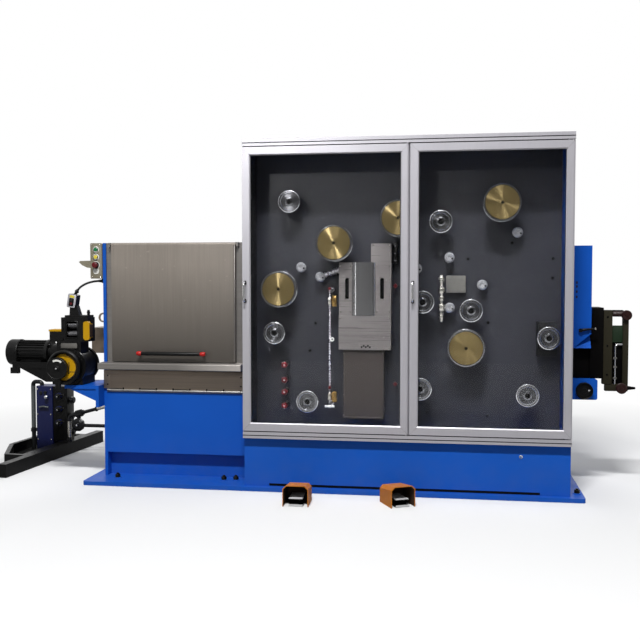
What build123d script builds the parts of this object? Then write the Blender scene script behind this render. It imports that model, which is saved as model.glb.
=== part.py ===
from build123d import *
import math
import os

# Wire drawing machine with an in-line annealer cabinet. Millimetres.
# X runs along the front from the wire inlet to the wire outlet, Y from the front to the back, Z up.
# The origin is the middle of the underside of the base plate.

# Base plate
plate_length = 3100.0
plate_depth = 1200.0
plate_thick = 25.0
plate_corner = 18.0
anchor_hole_r = 11.0
front_y = -plate_depth / 2
body_back = -front_y - 100.0
anchor_left = -plate_length / 2 + 185.0
anchor_right = plate_length / 2 - 33.0
anchor_front = front_y + 130.0
anchor_back = -front_y - 40.0

# Annealer cabinet on its plinth
cab_width = 1968.0
cab_top = 2158.0
cab_right = plate_length / 2 - 84.0
cab_left = cab_right - cab_width
sill_bottom = 330.0
plinth_front = front_y + 40.0
wall_thick = 20.0
roof_thick = 18.0
surround_depth = 55.0
header_height = 42.0
sill_height = 40.0
post_width = 32.0
groove_width = 6.0
groove_depth = 6.0
board_front = front_y + 300.0
board_thick = 20.0
slot_left = cab_left + 155.0
slot_right = cab_right - 174.0
slot_low = plate_thick + 3.0
slot_high = slot_low + 16.0
slot_depth = 40.0

# Cabinet doors
left_door_width = 1018.0
door_meet = cab_left + left_door_width
door_thick = 25.0
door_gap = 6.0
stile = 44.0
glass_thick = 5.0
glass_bite = 8.0
glass_edge_play = 0.3
door_pin_r = 8.0
door_pin_length = 26.0
pin_play = 0.08
handle_height = 124.0
handle_mid_z = 1232.0
handle_stand = 42.0
handle_r = 6.5
handle_inset = 17.0

# Drawing section
draw_left = -plate_length / 2 + 75.0
draw_right = cab_left
end_thick = 20.0
draw_front = front_y + 190.0
toe_front = draw_front + 60.0
toe_height = 180.0
base_top = 575.0
draw_top = 1543.0
gear_front = draw_front + 310.0
tank_front = draw_front + 12.0
sheet = 6.0
rail_low = base_top + 156.0
rail_high = rail_low + 41.0
rail_front = draw_front - 110.0
rail_left = draw_left + 2.0
rail_right = draw_right - 33.0
tank_floor = rail_low + 2.0
move_gap = 6.0
lid_left = draw_left + 64.0
lid_right = draw_right - 88.0
lid_low = rail_high + move_gap
lid_thick = 24.0
lid_back = draw_front + 6.0
lid_pin_r = 6.0
lid_overlap = 12.0
ear_width = 14.0
bar_left_share = 0.22
bar_right_share = 0.228
grip_length = 38.0
grip_half = 17.0
grip_reach = 58.0
grip_bar_r = 9.0
knuckle_r = 8.0
knuckle_pin_r = 3.0
knuckle_pitch = 111.75
knuckle_y = draw_front - 7.0
knuckle_z = base_top + 13.0
flap_thick = 8.0
flap_high = rail_low - 33.0
cone_front = tank_front + 68.0
cone_steps = 5
cone_small_r = 58.0
cone_step_r = 11.0

# Annealer board: places are millimetres from its lower left corner, and shrink or grow with the board
inner_left = cab_left + wall_thick
inner_right = cab_right - wall_thick
roof_low = cab_top - roof_thick
across = (inner_right - inner_left) / 1928.0
up = (roof_low - sill_bottom) / 1810.0
fit = min(across, up)
wheel_r = 114.0 * fit
wheel_face_r = wheel_r - 18.0
wheel_front = board_front - 180.0
wheel_width = 50.0
wheel_shaft_r = 20.0
wheel_places = [(180, 916), (527, 1201), (924, 1351), (1544, 1438), (1336, 560)]
pulley_r = 70.0 * fit
pulley_front = board_front - 150.0
pulley_width = 36.0
pulley_shaft_r = 12.0
pulley_places = [
    (242, 1462), (146, 641), (357, 211), (1180, 1329), (1073, 838),
    (1365, 787), (1061, 303), (1828, 624), (1706, 275),
]
bracket_pulley = 7
bearing_height = 30.0
run_play = 0.05
shaft_end_gap = 3.0
cap_places = [(304, 1054), (427, 994), (1232, 1112), (1643, 1264), (1433, 944), (1236, 802), (1033, 1045)]
cap_r = 32.0 * fit
cap_front = board_front - 70.0
knob_places = [(203, 436), (203, 340), (203, 264), (203, 178)]
knob_r = 21.0 * fit
knob_front = board_front - 110.0
knob_thick = 24.0
head_front = board_front - 100.0

# Control box on the end plate
box_width = 79.0
box_low = draw_top - 231.0
box_high = draw_top - 1.0
box_front = draw_front - 15.0
box_depth = 75.0

# Wire pointing unit on its shelf
shelf_top = 624.0
shelf_thick = 22.0
shelf_length = 232.0
shelf_depth = 324.0
shelf_front = draw_front - 94.0
shelf_left = draw_left - shelf_length
leg_drop = 140.0
leg_thick = 21.0
case_r = 119.0
case_length = 223.0
case_x = draw_left - 208.0
case_z = shelf_top + case_r + 0.5
case_front = shelf_front + 9.0
case_back = case_front + case_length
case_rim = 22.0
drum_r = 112.0
drum_length = 45.0
drum_mouth_r = 86.0
drum_sunk = 16.0
drum_x = case_x - 14.0
drum_z = case_z - 1.5
cover_r = 70.0
cover_thick = 26.0
cover_x = drum_x - 33.0
cover_z = drum_z - 5.0
stand_width = 184.0
stand_height = 156.0
stand_depth = 110.0
stand_left = case_x - 57.0
stand_low = case_z + 161.5
stand_front = case_front + 25.0
window_width = 85.0
window_height = 118.0
roll_gap = 5.0
roll_r = 26.0
motor_r = 86.0
motor_length = 366.0
motor_y = case_front + 165.0
motor_z = case_z + 76.5
motor_fins = 24
switch_width = 60.0
switch_depth = 55.0
switch_height = 88.0
switch_tilt = 9.0
cable_r = 7.0
gland_length = 24.0

# Coolant stand at the inlet end
skid_x = draw_left - 654.0
skid_y = front_y + 110.0
skid_turn = -5.6
skid_length = 1320.0
skid_height = 90.0
skid_beam = 60.0
pan_wall = 30.0
pipe_r = 13.0

# Wire outlet
exit_width = 154.0
exit_front = front_y + 350.0
exit_back = exit_front + 300.0
exit_top = draw_top - 27.0
exit_low = exit_top - 633.5
bracket_low = 562.0
bracket_high = 690.0
bracket_length = 196.0
hand_r = 52.0
guide_front = exit_front + 60.0

# Foot switches: middle of the front edge and turn in degrees
foot_places = [(-117.0, front_y - 325.0, 2.0), (499.0, front_y - 249.0, 27.0)]
foot_width = 150.0
foot_depth = 172.0
foot_front_height = 122.0
foot_back_height = 101.0
foot_wall = 4.0
foot_chamfer = 19.0
tread_width = 80.0
tread_low = 38.0
tread_thick = 8.0
tread_pin_r = 4.0
tread_pin_y = 146.0

parts = {}


def slab(x0, x1, y0, y1, z0, z1):
    """A box between two corners."""
    return Pos((x0 + x1) / 2, (y0 + y1) / 2, (z0 + z1) / 2) * Box(x1 - x0, y1 - y0, z1 - z0)


def rod_x(x0, x1, y, z, r):
    """A round bar along X."""
    return Pos((x0 + x1) / 2, y, z) * Rot(0, 90, 0) * Cylinder(r, x1 - x0)


def rod_y(x, y0, y1, z, r):
    """A round bar along Y."""
    return Pos(x, (y0 + y1) / 2, z) * Rot(90, 0, 0) * Cylinder(r, y1 - y0)


def rod_z(x, y, z0, z1, r):
    """A round bar along Z."""
    return Pos(x, y, (z0 + z1) / 2) * Cylinder(r, z1 - z0)


def prism_x(outline, x0, x1):
    """A (Y, Z) outline drawn out along X."""
    return extrude(Plane.YZ.offset(x0) * make_face(Polyline(*outline, close=True)), x1 - x0)


def prism_y(outline, y0, y1):
    """An (X, Z) outline drawn out along Y."""
    return extrude(Plane.XZ.offset(-y1) * make_face(Polyline(*outline, close=True)), y1 - y0)


def turned(outline, x, z):
    """A (radius, Y) outline turned about an axis along Y."""
    return Pos(x, 0, z) * revolve(make_face(Polyline(*outline, close=True)), axis=Axis.Y)


def group(solids):
    """Like solids that share a node."""
    return Compound(children=solids)


# Base plate with its anchor holes
plate = slab(-plate_length / 2, plate_length / 2, front_y, -front_y, 0, plate_thick)
plate = fillet(plate.edges().filter_by(Axis.Z), plate_corner)
for hole_x in (anchor_left, anchor_right):
    for hole_y in (anchor_front, anchor_back):
        plate -= rod_z(hole_x, hole_y, -1, plate_thick + 1, anchor_hole_r)
parts["base_plate"] = plate

# Pedestal of the drawing section, with its toe recess
base_left = draw_left + end_thick
base_outline = [
    (toe_front, plate_thick), (body_back, plate_thick), (body_back, base_top),
    (draw_front, base_top), (draw_front, toe_height), (toe_front, toe_height),
]
parts["drawing_base"] = prism_x(base_outline, base_left, draw_right)
parts["drawing_end_plate"] = slab(draw_left, base_left, draw_front, body_back, plate_thick, draw_top)

gearbox = slab(base_left, draw_right, gear_front, body_back, base_top, draw_top)
gearbox = fillet(gearbox.edges().filter_by(Axis.X).group_by(Axis.Z)[-1].sort_by(Axis.Y)[-1], 30)
parts["gearbox_housing"] = gearbox

# Drawing tank: the upper chamber is behind the lid, the lower one behind the flap
tank = slab(base_left, draw_right, tank_front, gear_front, base_top, draw_top)
room_left = base_left + sheet
room_right = draw_right - sheet
room_front = tank_front + 8
room_back = gear_front - sheet
tank -= slab(room_left, room_right, room_front, room_back, tank_floor + sheet, draw_top - sheet)
mouth_left = lid_left + lid_overlap
mouth_right = lid_right - lid_overlap
mouth_high = draw_top - 2 * lid_overlap
tank -= slab(mouth_left, mouth_right, tank_front - 1, room_front + 1, lid_low + lid_overlap, mouth_high)
tank -= slab(room_left, room_right, room_front, room_back, base_top + sheet, tank_floor)
lower_left = base_left + 15
lower_right = draw_right - 15
tank -= slab(lower_left, lower_right, tank_front - 1, room_front + 1, base_top + 24, tank_floor - 10)

# Lid ears on the tank
lid_front = lid_back - lid_thick
lid_axis_y = lid_back - lid_thick / 2
lid_axis_z = draw_top - lid_thick / 2
for ear_x in (lid_left - move_gap - ear_width, lid_right + move_gap):
    tank += slab(ear_x, ear_x + ear_width, lid_front, tank_front, draw_top - 26, draw_top)
tank -= rod_x(lid_left - 60, lid_right + 60, lid_axis_y, lid_axis_z, lid_pin_r + pin_play)

# Long flap hinge: fixed knuckles stand on a leaf on the tank, moving ones on the flap, on one pin
hinge_left = draw_left + 23
hinge_right = draw_right - 6
leaf_front = knuckle_y + knuckle_r
knuckle_end_gap = 1.0
knuckle_count = math.ceil((hinge_right - hinge_left) / knuckle_pitch)
hinge = slab(base_left, draw_right, leaf_front, tank_front, base_top, knuckle_z + knuckle_r)
flap_front = knuckle_y - flap_thick / 2
flap_back = knuckle_y + flap_thick / 2
flap = slab(draw_left + 2, draw_right - 4, flap_front, flap_back, knuckle_z + knuckle_r + 4, flap_high)
for index in range(knuckle_count):
    start = hinge_left + index * knuckle_pitch + knuckle_end_gap
    stop = min(start + knuckle_pitch, hinge_right) - 2 * knuckle_end_gap
    barrel = rod_x(start, stop, knuckle_y, knuckle_z, knuckle_r)
    if index % 2 == 0:
        hinge += barrel
        hinge += slab(start, stop, knuckle_y, leaf_front + 1, knuckle_z - 4, knuckle_z + 4)
    else:
        barrel += slab(start, stop, flap_front, flap_back, knuckle_z, knuckle_z + knuckle_r + 5)
        barrel -= rod_x(start - 1, stop + 1, knuckle_y, knuckle_z, knuckle_pin_r + pin_play)
        flap += barrel
hinge += rod_x(hinge_left + 2, hinge_right - 4, knuckle_y, knuckle_z, knuckle_pin_r)
parts["tank"] = tank + hinge
parts["flap"] = flap

# Lid: a folded pan with a round top edge and a pivot pin at each end
lid = slab(lid_left, lid_right, lid_front, lid_back, lid_low, draw_top)
lid = fillet(lid.edges().filter_by(Axis.X).group_by(Axis.Z)[-1], lid_thick / 2 - 0.1)
lid -= slab(lid_left + sheet, lid_right - sheet, lid_front + sheet, lid_back + 1,
            lid_low + sheet, draw_top - lid_thick - 4)
pin_reach = move_gap + ear_width - 2
lid += rod_x(lid_left - pin_reach, lid_left + 1, lid_axis_y, lid_axis_z, lid_pin_r)
lid += rod_x(lid_right - 1, lid_right + pin_reach, lid_axis_y, lid_axis_z, lid_pin_r)
parts["lid"] = lid

# Lid handle: a bar between two end grips
lid_width = lid_right - lid_left
bar_left = lid_left + bar_left_share * lid_width
bar_right = lid_right - bar_right_share * lid_width
handle_z = lid_low + 55
grips = slab(bar_left, bar_left + grip_length, lid_front - grip_reach, lid_front,
             handle_z - grip_half, handle_z + grip_half)
grips += slab(bar_right - grip_length, bar_right, lid_front - grip_reach, lid_front,
              handle_z - grip_half, handle_z + grip_half)
grips = fillet(grips.edges().filter_by(Axis.X), 11)
bar_y = lid_front - grip_reach + grip_half
parts["lid_handle"] = grips + rod_x(bar_left + 2, bar_right - 2, bar_y, handle_z, grip_bar_r)

# Front rail under the lid
rail = slab(rail_left, rail_right, rail_front, draw_front, rail_low, rail_high)
rail = fillet(rail.edges().filter_by(Axis.X).group_by(Axis.Y)[0], 5)
rail += slab(base_left, rail_right, draw_front - 1, tank_front, rail_low, rail_high)
parts["front_rail"] = rail

# Stepped drawing cones on the gearbox shafts, behind the lid
cones = []
step_length = (room_back - cone_front - 20) / cone_steps
for share_x in (0.25, 0.75):
    for share_z in (0.31, 0.71):
        cone_outline = [(0, cone_front), (cone_small_r, cone_front)]
        for index in range(cone_steps):
            radius = cone_small_r + index * cone_step_r
            cone_outline.append((radius, cone_front + (index + 1) * step_length))
            if index + 1 < cone_steps:
                cone_outline.append((radius + cone_step_r, cone_front + (index + 1) * step_length))
        cone_outline += [(40, room_back - 20), (40, room_back), (0, room_back)]
        cone_x = room_left + share_x * (room_right - room_left)
        cone_z = tank_floor + share_z * (draw_top - tank_floor)
        cones.append(turned(cone_outline, cone_x, cone_z))
parts["drawing_cones"] = group(cones)

# Plinth of the cabinet, with its long slot
plinth = slab(cab_left, cab_right, plinth_front, body_back, plate_thick, sill_bottom)
plinth -= slab(slot_left, slot_right, plinth_front - 1, plinth_front + slot_depth, slot_low, slot_high)
parts["plinth"] = plinth

# Cabinet shell: side walls, roof and the closed drive housing behind the board
wall_front = front_y + surround_depth
board_back = board_front + board_thick
shell = slab(cab_left, cab_right, wall_front, body_back, sill_bottom, cab_top)
shell -= slab(inner_left, inner_right, wall_front - 1, board_back, sill_bottom - 1, roof_low)
parts["cabinet_shell"] = shell
parts["mounting_board"] = slab(inner_left, inner_right, board_front, board_back, sill_bottom, roof_low)

# Door surround: header, sill and three posts, with a groove along the header and the sill
header_low = cab_top - header_height
sill_top = sill_bottom + sill_height
post_front = front_y + door_thick + move_gap
surround = slab(cab_left, cab_right, front_y, wall_front, header_low, cab_top)
surround += slab(cab_left, cab_right, front_y, wall_front, sill_bottom, sill_top)
for groove_z in (cab_top - 0.55 * header_height, sill_bottom + 0.45 * sill_height):
    surround -= slab(cab_left - 1, cab_right + 1, front_y - 1, front_y + groove_depth,
                     groove_z - groove_width / 2, groove_z + groove_width / 2)
for post_x in (cab_left, door_meet - post_width / 2, cab_right - post_width):
    surround += slab(post_x, post_x + post_width, post_front, wall_front, sill_top, header_low)

# Doors: aluminium frame with a round pivot edge, glass in a groove and a bow handle
door_low = sill_top + move_gap
door_high = header_low - move_gap
door_mid_y = front_y + door_thick / 2
handle_low = handle_mid_z - handle_height / 2
handle_high = handle_mid_z + handle_height / 2
for name, left, right in (
    ("left_door", cab_left, door_meet - door_gap / 2),
    ("right_door", door_meet + door_gap / 2, cab_right),
):
    pivot_x = right - door_thick / 2
    frame = slab(left, right, front_y, front_y + door_thick, door_low, door_high)
    pivot_edges = frame.edges().filter_by(Axis.Z).group_by(Axis.X)[-1]
    frame = fillet(pivot_edges, door_thick / 2 - 0.1)
    frame -= slab(left + stile, right - stile, front_y - 1, front_y + door_thick + 1,
                  door_low + stile, door_high - stile)
    groove = glass_bite + glass_edge_play
    glass_front = door_mid_y - glass_thick / 2
    glass_back = door_mid_y + glass_thick / 2
    frame -= slab(left + stile - groove, right - stile + groove, glass_front, glass_back,
                  door_low + stile - groove, door_high - stile + groove)
    frame += rod_z(pivot_x, door_mid_y, door_high - 1, door_high + door_pin_length, door_pin_r)
    frame += rod_z(pivot_x, door_mid_y, door_low - door_pin_length, door_low + 1, door_pin_r)
    parts[name + "_frame"] = frame
    inset = stile - glass_bite
    parts[name + "_glass"] = slab(left + inset, right - inset, glass_front, glass_back,
                                  door_low + inset, door_high - inset)
    grip_x = left + handle_inset
    bow = FilletPolyline(
        (grip_x, front_y, handle_low + handle_r), (grip_x, front_y - handle_stand, handle_low + handle_r),
        (grip_x, front_y - handle_stand, handle_high - handle_r), (grip_x, front_y, handle_high - handle_r),
        radius=20,
    )
    start_plane = Plane(origin=(grip_x, front_y, handle_low + handle_r), z_dir=(0, -1, 0))
    parts[name + "_handle"] = sweep(start_plane * Circle(handle_r), path=bow)
    hole_r = door_pin_r + pin_play
    surround -= rod_z(pivot_x, door_mid_y, header_low - 1, door_high + door_pin_length + 1, hole_r)
    surround -= rod_z(pivot_x, door_mid_y, door_low - door_pin_length - 1, sill_top + 1, hole_r)
parts["door_surround"] = surround


def on_board(x, z):
    """X and Z of a place that is given from the board's lower left corner."""
    return inner_left + x * across, sill_bottom + z * up


def board_slab(x0, x1, y0, z0, z1):
    """A box that stands on the board, between two places."""
    left, low = on_board(x0, z0)
    right, high = on_board(x1, z1)
    return slab(left, right, y0, board_front, low, high)


# Contact wheels: a brass face, a grooved steel rim and a shaft
wheel_back = wheel_front + wheel_width
shaft_end = board_front - shaft_end_gap
wheel_outline = [
    (0, wheel_front + 6), (11, wheel_front + 6), (11, wheel_front), (wheel_face_r, wheel_front),
    (wheel_face_r, wheel_front + 4), (wheel_r, wheel_front + 4), (wheel_r, wheel_front + 12),
    (wheel_r - 5, wheel_front + 14), (wheel_r - 5, wheel_back - 10), (wheel_r, wheel_back - 8),
    (wheel_r, wheel_back), (wheel_shaft_r, wheel_back), (wheel_shaft_r, shaft_end), (0, shaft_end),
]
for index, place in enumerate(wheel_places):
    parts[f"contact_wheel_{index + 1}"] = turned(wheel_outline, *on_board(*place))

# Guide pulleys: a bright grooved rim round a sunk hub
pulley_back = pulley_front + pulley_width
pulley_outline = [
    (0, pulley_front + 4), (24, pulley_front + 4), (24, pulley_front + 12),
    (pulley_r - 22, pulley_front + 12), (pulley_r - 20, pulley_front),
    (pulley_r, pulley_front), (pulley_r, pulley_front + 5),
    (pulley_r - 9, pulley_front + pulley_width / 2), (pulley_r, pulley_back - 5), (pulley_r, pulley_back),
    (pulley_shaft_r, pulley_back), (pulley_shaft_r, shaft_end), (0, shaft_end),
]
for index, place in enumerate(pulley_places):
    parts[f"guide_pulley_{index + 1}"] = turned(pulley_outline, *on_board(*place))

# Bearings on the board, with running clearance round each shaft
bearings = []
bearing_front = board_front - bearing_height
for place in wheel_places:
    bore_r = wheel_shaft_r + run_play
    ring = [(bore_r, bearing_front), (46, bearing_front), (52, board_front - 10), (52, board_front),
            (bore_r, board_front)]
    bearings.append(turned(ring, *on_board(*place)))
for index, place in enumerate(pulley_places):
    x, z = on_board(*place)
    bore_r = pulley_shaft_r + run_play
    if index == bracket_pulley:
        block = slab(x - 62, x + 54, pulley_back + 26, board_front, z - 110, z + 94)
        bearings.append(block - rod_y(x, pulley_back, board_front + 1, z, bore_r))
    else:
        ring = [(bore_r, bearing_front), (28, bearing_front), (28, board_front), (bore_r, board_front)]
        bearings.append(turned(ring, x, z))
parts["wheel_bearings"] = group(bearings)

# Bright caps, valve stems, a small plate and a sight tube on the board
fittings = []
for place in cap_places:
    cap = [(0, cap_front + 8), (12, cap_front + 8), (12, cap_front), (cap_r - 6, cap_front),
           (cap_r, cap_front + 8), (cap_r, cap_front + 26), (15, cap_front + 26), (15, board_front),
           (0, board_front)]
    fittings.append(turned(cap, *on_board(*place)))
for place in knob_places:
    x, z = on_board(*place)
    fittings.append(rod_y(x, knob_front + knob_thick, board_front, z, 9))
fittings.append(board_slab(1213, 1334, board_front - 34, 894, 1001))
sight_y = board_front - 80
sight_x, sight_low = on_board(1186, 716)
sight_high = on_board(1186, 1005)[1]
sight = rod_z(sight_x, sight_y, sight_low, sight_high, 11)
for z in (sight_low + 34, sight_high - 35):
    sight += rod_y(sight_x, sight_y, board_front, z, 8)
fittings.append(sight)
parts["board_fittings"] = group(fittings)

knobs = []
for place in knob_places:
    x, z = on_board(*place)
    knob = Pos(x, knob_front + knob_thick / 2, z) * Rot(90, 0, 0) * Cylinder(knob_r, knob_thick)
    knobs.append(fillet(knob.edges().sort_by(Axis.Y)[0], 5))
parts["valve_knobs"] = group(knobs)

# Annealing head with two wire slots, and the tan cooling box under it
head = board_slab(551, 877, head_front, 750, 1083)
head += board_slab(751, 877, head_front, 1083, 1200)
head += board_slab(551, 877, head_front - 14, 539, 750)
for slot_x in (601, 820):
    slot_cut = board_slab(slot_x - 12, slot_x + 12, head_front - 1, 855, 986)
    head -= slot_cut - slab(cab_left, cab_right, head_front + 40, board_front, sill_bottom, cab_top)
parts["preheat_box"] = head
parts["anneal_box"] = board_slab(577, 832, head_front + 4, 106, 536)

# Cooling line: a bent tube with a union at each end
line_x, line_low = on_board(494, 193)
line_high = on_board(494, 911)[1]
line_y = head_front
line_path = FilletPolyline(
    (line_x, board_front, line_high), (line_x, line_y, line_high), (line_x, line_y, line_low),
    (line_x, board_front, line_low), radius=24,
)
line = sweep(Plane(origin=(line_x, board_front, line_high), z_dir=(0, -1, 0)) * Circle(9), path=line_path)
for z in (line_high - 69, line_low + 48):
    line += rod_z(line_x, line_y, z - 22, z + 22, 15)
for z in (line_high, line_low):
    line += rod_y(line_x, board_front - 14, board_front, z, 18)
parts["cooling_line"] = line

# Control box on the end plate, with a leaf handle and its buttons
box_left = draw_left - box_width
control = slab(box_left, draw_left, box_front, box_front + box_depth, box_low, box_high)
control = fillet(control.edges().filter_by(Axis.Y), 7)
leaf = [
    (box_left + 4, box_high - 112), (box_left - 84, box_high - 114), (box_left - 92, box_high - 122),
    (box_left - 70, box_high - 142), (box_left - 36, box_high - 158), (box_left + 4, box_high - 162),
]
control += prism_y(leaf, box_front + 30, box_front + 58)
parts["control_box"] = control
button_x = box_left + box_width / 2
buttons = [
    rod_y(button_x, box_front - 14, box_front, box_high - 42, 16),
    rod_y(button_x, box_front - 14, box_front, box_high - 90, 16),
    rod_y(button_x, box_front - 26, box_front, box_high - 142, 22),
]
parts["control_buttons"] = group(buttons)

# Shelf bracket of the pointing unit
shelf_low = shelf_top - shelf_thick
shelf_back = shelf_front + shelf_depth
leg_low = shelf_top - leg_drop
shelf = slab(shelf_left, draw_left, shelf_front, shelf_back, shelf_low, shelf_top)
shelf += slab(draw_left - leg_thick, draw_left, shelf_front, shelf_back, leg_low, shelf_low)
leg_left = draw_left - leg_thick
gusset = [(shelf_left + 28, shelf_low), (leg_left, shelf_low), (leg_left, leg_low + 40)]
for gusset_y in (shelf_front + 8, shelf_back - 22):
    shelf += prism_y(gusset, gusset_y, gusset_y + 14)
parts["pointer_bracket"] = shelf

# Pointing unit: round gear case on a foot, with a drum and an off-centre cover in front
rim_r = case_r - 8
case_outline = [
    (0, case_front), (case_r, case_front), (case_r, case_front + case_rim), (rim_r, case_front + case_rim),
    (rim_r, case_back - case_rim), (case_r, case_back - case_rim), (case_r, case_back), (0, case_back),
]
unit = turned(case_outline, case_x, case_z)
block_left = case_x - 117
unit += slab(block_left, case_x + 90, case_front + 15, case_back - 10, shelf_top, case_z - 60)
drive = slab(block_left, case_x, motor_y - 82, motor_y + 68, case_z - 10, stand_low)
unit += fillet(drive.edges().filter_by(Axis.X).group_by(Axis.Z)[-1], 20)
drum_front = case_front - drum_length
face_front = drum_front + drum_sunk
face_thick = 6.0
drum_outline = [
    (0, face_front + face_thick), (drum_mouth_r, face_front + face_thick), (drum_mouth_r, drum_front + 6),
    (drum_mouth_r + 6, drum_front), (drum_r - 4, drum_front), (drum_r, drum_front + 4),
    (drum_r, case_front + 1), (0, case_front + 1),
]
unit += turned(drum_outline, drum_x, drum_z)
unit += rod_y(cover_x, drum_front - cover_thick, drum_front + 0.5, cover_z, cover_r)
unit += rod_y(cover_x, drum_front, face_front + face_thick + 1, cover_z, 24)
hook = [
    (cover_x - 16, cover_z - 40), (cover_x + 6, cover_z - 40), (cover_x + 22, cover_z - 84),
    (cover_x + 16, cover_z - 132), (cover_x - 10, cover_z - 132), (cover_x - 22, cover_z - 84),
]
unit += prism_y(hook, drum_front - 16, drum_front)

# Roll stand on the gear case, with a window for the rolls, a cap and two setting screws
stand_right = stand_left + stand_width
stand_back = stand_front + stand_depth
stand_top = stand_low + stand_height
cap_top = stand_top + 14
window_left = stand_left + 31
window_right = window_left + window_width
window_low = stand_low + 18
window_high = window_low + window_height
unit += slab(case_x - 82, case_x + 76, stand_front, stand_front + 125, case_z + 60, stand_low + 1)
unit += slab(case_x - 60, case_x + 55, stand_front - 6, stand_front + 1, stand_low - 46, stand_low - 10)
stand = slab(stand_left, stand_right, stand_front, stand_back, stand_low, stand_top)
stand += slab(stand_left + 24, stand_right - 6, stand_front + 4, stand_back - 4, stand_top - 1, cap_top)
stand -= slab(window_left, window_right, stand_front - 1, stand_front + 74, window_low, window_high)
for screw_x in (stand_left + 36, stand_right - 30):
    stand += rod_z(screw_x, stand_back - 30, cap_top - 1, cap_top + 24, 9)
unit += stand
side_high = stand_low + 63
unit += slab(stand_left - 95, stand_left + 1, stand_front + 30, stand_back, stand_low - 5, side_high)

# Motor tray with its gussets
tray_top = motor_z - motor_r - 2
tray_left = block_left - motor_length + 61
tray_right = block_left + 2
unit += slab(tray_left, tray_right, motor_y - 90, motor_y + 90, tray_top - 8, tray_top)
unit += slab(tray_left, tray_right - 62, motor_y - 98, motor_y - 90, tray_top - 8, tray_top + 32)
unit += slab(tray_left - 14, tray_left + 44, motor_y - 98, motor_y - 74, tray_top - 46, tray_top - 7)
strut = [
    (tray_right, shelf_top + 8), (block_left - 76, shelf_top + 8), (block_left - 210, tray_top - 34),
    (block_left - 262, tray_top - 8), (tray_right, tray_top - 8),
]
for strut_y in (motor_y - 85, motor_y + 30):
    unit += prism_y(strut, strut_y, strut_y + 14)
parts["pointer_body"] = unit

# Pinch rolls across the stand's window
rolls = []
roll_mid = (window_low + window_high) / 2
for sign in (-1, 1):
    roll_z = roll_mid + sign * (roll_r + roll_gap / 2)
    rolls.append(rod_x(window_left, window_right, stand_front + 36, roll_z, roll_r))
parts["pinch_rolls"] = group(rolls)

# Yellow guards: the side cover of the rolls, a top cover and the face inside the drum
guard_low = stand_low + 12
guard_high = stand_low + 132
side_guard = slab(stand_right - 22, stand_right + 20, stand_front - 26, stand_front, guard_low, guard_high)
side_guard = fillet(side_guard.edges().filter_by(Axis.Y), 16)
side_guard += slab(stand_right, stand_right + 20, stand_front - 1, stand_front + 31,
                   guard_low + 16, guard_high - 16)
top_guard = slab(stand_left - 99, stand_left, stand_front + 26, stand_back + 4, side_high, side_high + 12)
face_guard = rod_y(drum_x, face_front, face_front + face_thick, drum_z, drum_mouth_r - 0.5)
face_guard -= rod_y(cover_x, drum_front, face_front + 40, cover_z, 24.3)
parts["pointer_guards"] = group([side_guard, top_guard, face_guard])

# Motor of the pointing unit: finned barrel, flange, neck, cowl and feet
motor_left = block_left - motor_length
cowl_right = motor_left + 84
fin_right = block_left - 94
barrel_r = motor_r - 14
motor = rod_x(cowl_right - 2, fin_right + 2, motor_y, motor_z, barrel_r)
for index in range(motor_fins):
    fin = slab(cowl_right - 1, fin_right + 1, -2, 2, barrel_r - 4, motor_r - 4)
    motor += Pos(0, motor_y, motor_z) * Rot(360 * index / motor_fins, 0, 0) * fin
cowl = rod_x(motor_left, cowl_right, motor_y, motor_z, motor_r)
motor += fillet(cowl.edges().sort_by(Axis.X)[0], 16)
motor += rod_x(fin_right, fin_right + 20, motor_y, motor_z, motor_r)
motor += rod_x(fin_right + 18, block_left, motor_y, motor_z, motor_r - 28)
motor += slab(cowl_right + 16, fin_right - 30, motor_y - 60, motor_y + 60, tray_top, motor_z - 40)
parts["pointer_motor"] = motor

# Switch box on a tapered post on the roll stand, leaning to the right
post_y = stand_front + 40
post_top = cap_top + 60
post = [(case_x - 7, cap_top), (case_x + 62, cap_top), (case_x + 43, post_top), (case_x - 3, post_top)]
switch_mid = Vector(case_x + 14, post_y - 2, cap_top + 93)
switch = Box(switch_width, switch_depth, switch_height)
switch = fillet(switch.edges().filter_by(Axis.Y), 8)
switch = Pos(*switch_mid) * Rot(0, switch_tilt, 0) * switch
switch += prism_y(post, post_y - 22, post_y + 24)

# Cable from the end plate to an angled gland: places are measured from the middle of the switch box
cable_places = [
    (194, 30, 129.5), (147, 30, 129.5), (101, 22, 120.5), (66.5, 12, 105), (43.5, 4, 87.5), (29.5, 0, 71.5),
    (21, 0, 57),
]
cable_points = [switch_mid + Vector(*place) for place in cable_places]
cable_radii = []
for before, corner, after in zip(cable_points, cable_points[1:], cable_points[2:]):
    half_turn = math.radians((corner - before).get_angle(after - corner)) / 2
    shorter = min((corner - before).length, (after - corner).length)
    cable_radii.append(0.45 * shorter / math.tan(half_turn))
cable_path = FilletPolyline(*cable_points, radius=cable_radii)
cable_start = Plane(origin=cable_points[0], z_dir=cable_points[1] - cable_points[0])
parts["switch_cable"] = sweep(cable_start * Circle(cable_r), path=cable_path)
gland_plane = Plane(origin=cable_points[-1], z_dir=cable_points[-1] - cable_points[-2])
switch += extrude(gland_plane * Circle(cable_r + 3), gland_length)
parts["switch_box"] = switch

# Wire inlet box on the end plate, and a white guide ring above it
inlet_front = gear_front
inlet = slab(draw_left - 215, draw_left, inlet_front, inlet_front + 180, 800, 975)
inlet -= slab(draw_left - 216, draw_left - 25, inlet_front + 40, inlet_front + 140, 850, 930)
ring_y = draw_front + 110
eye = turned([(22, ring_y - 6), (32, ring_y - 6), (32, ring_y + 6), (22, ring_y + 6)], draw_left - 46, 1055)
eye += rod_x(draw_left - 17, draw_left, ring_y, 1055, 5)
parts["wire_inlet_box"] = group([inlet, eye])

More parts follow.
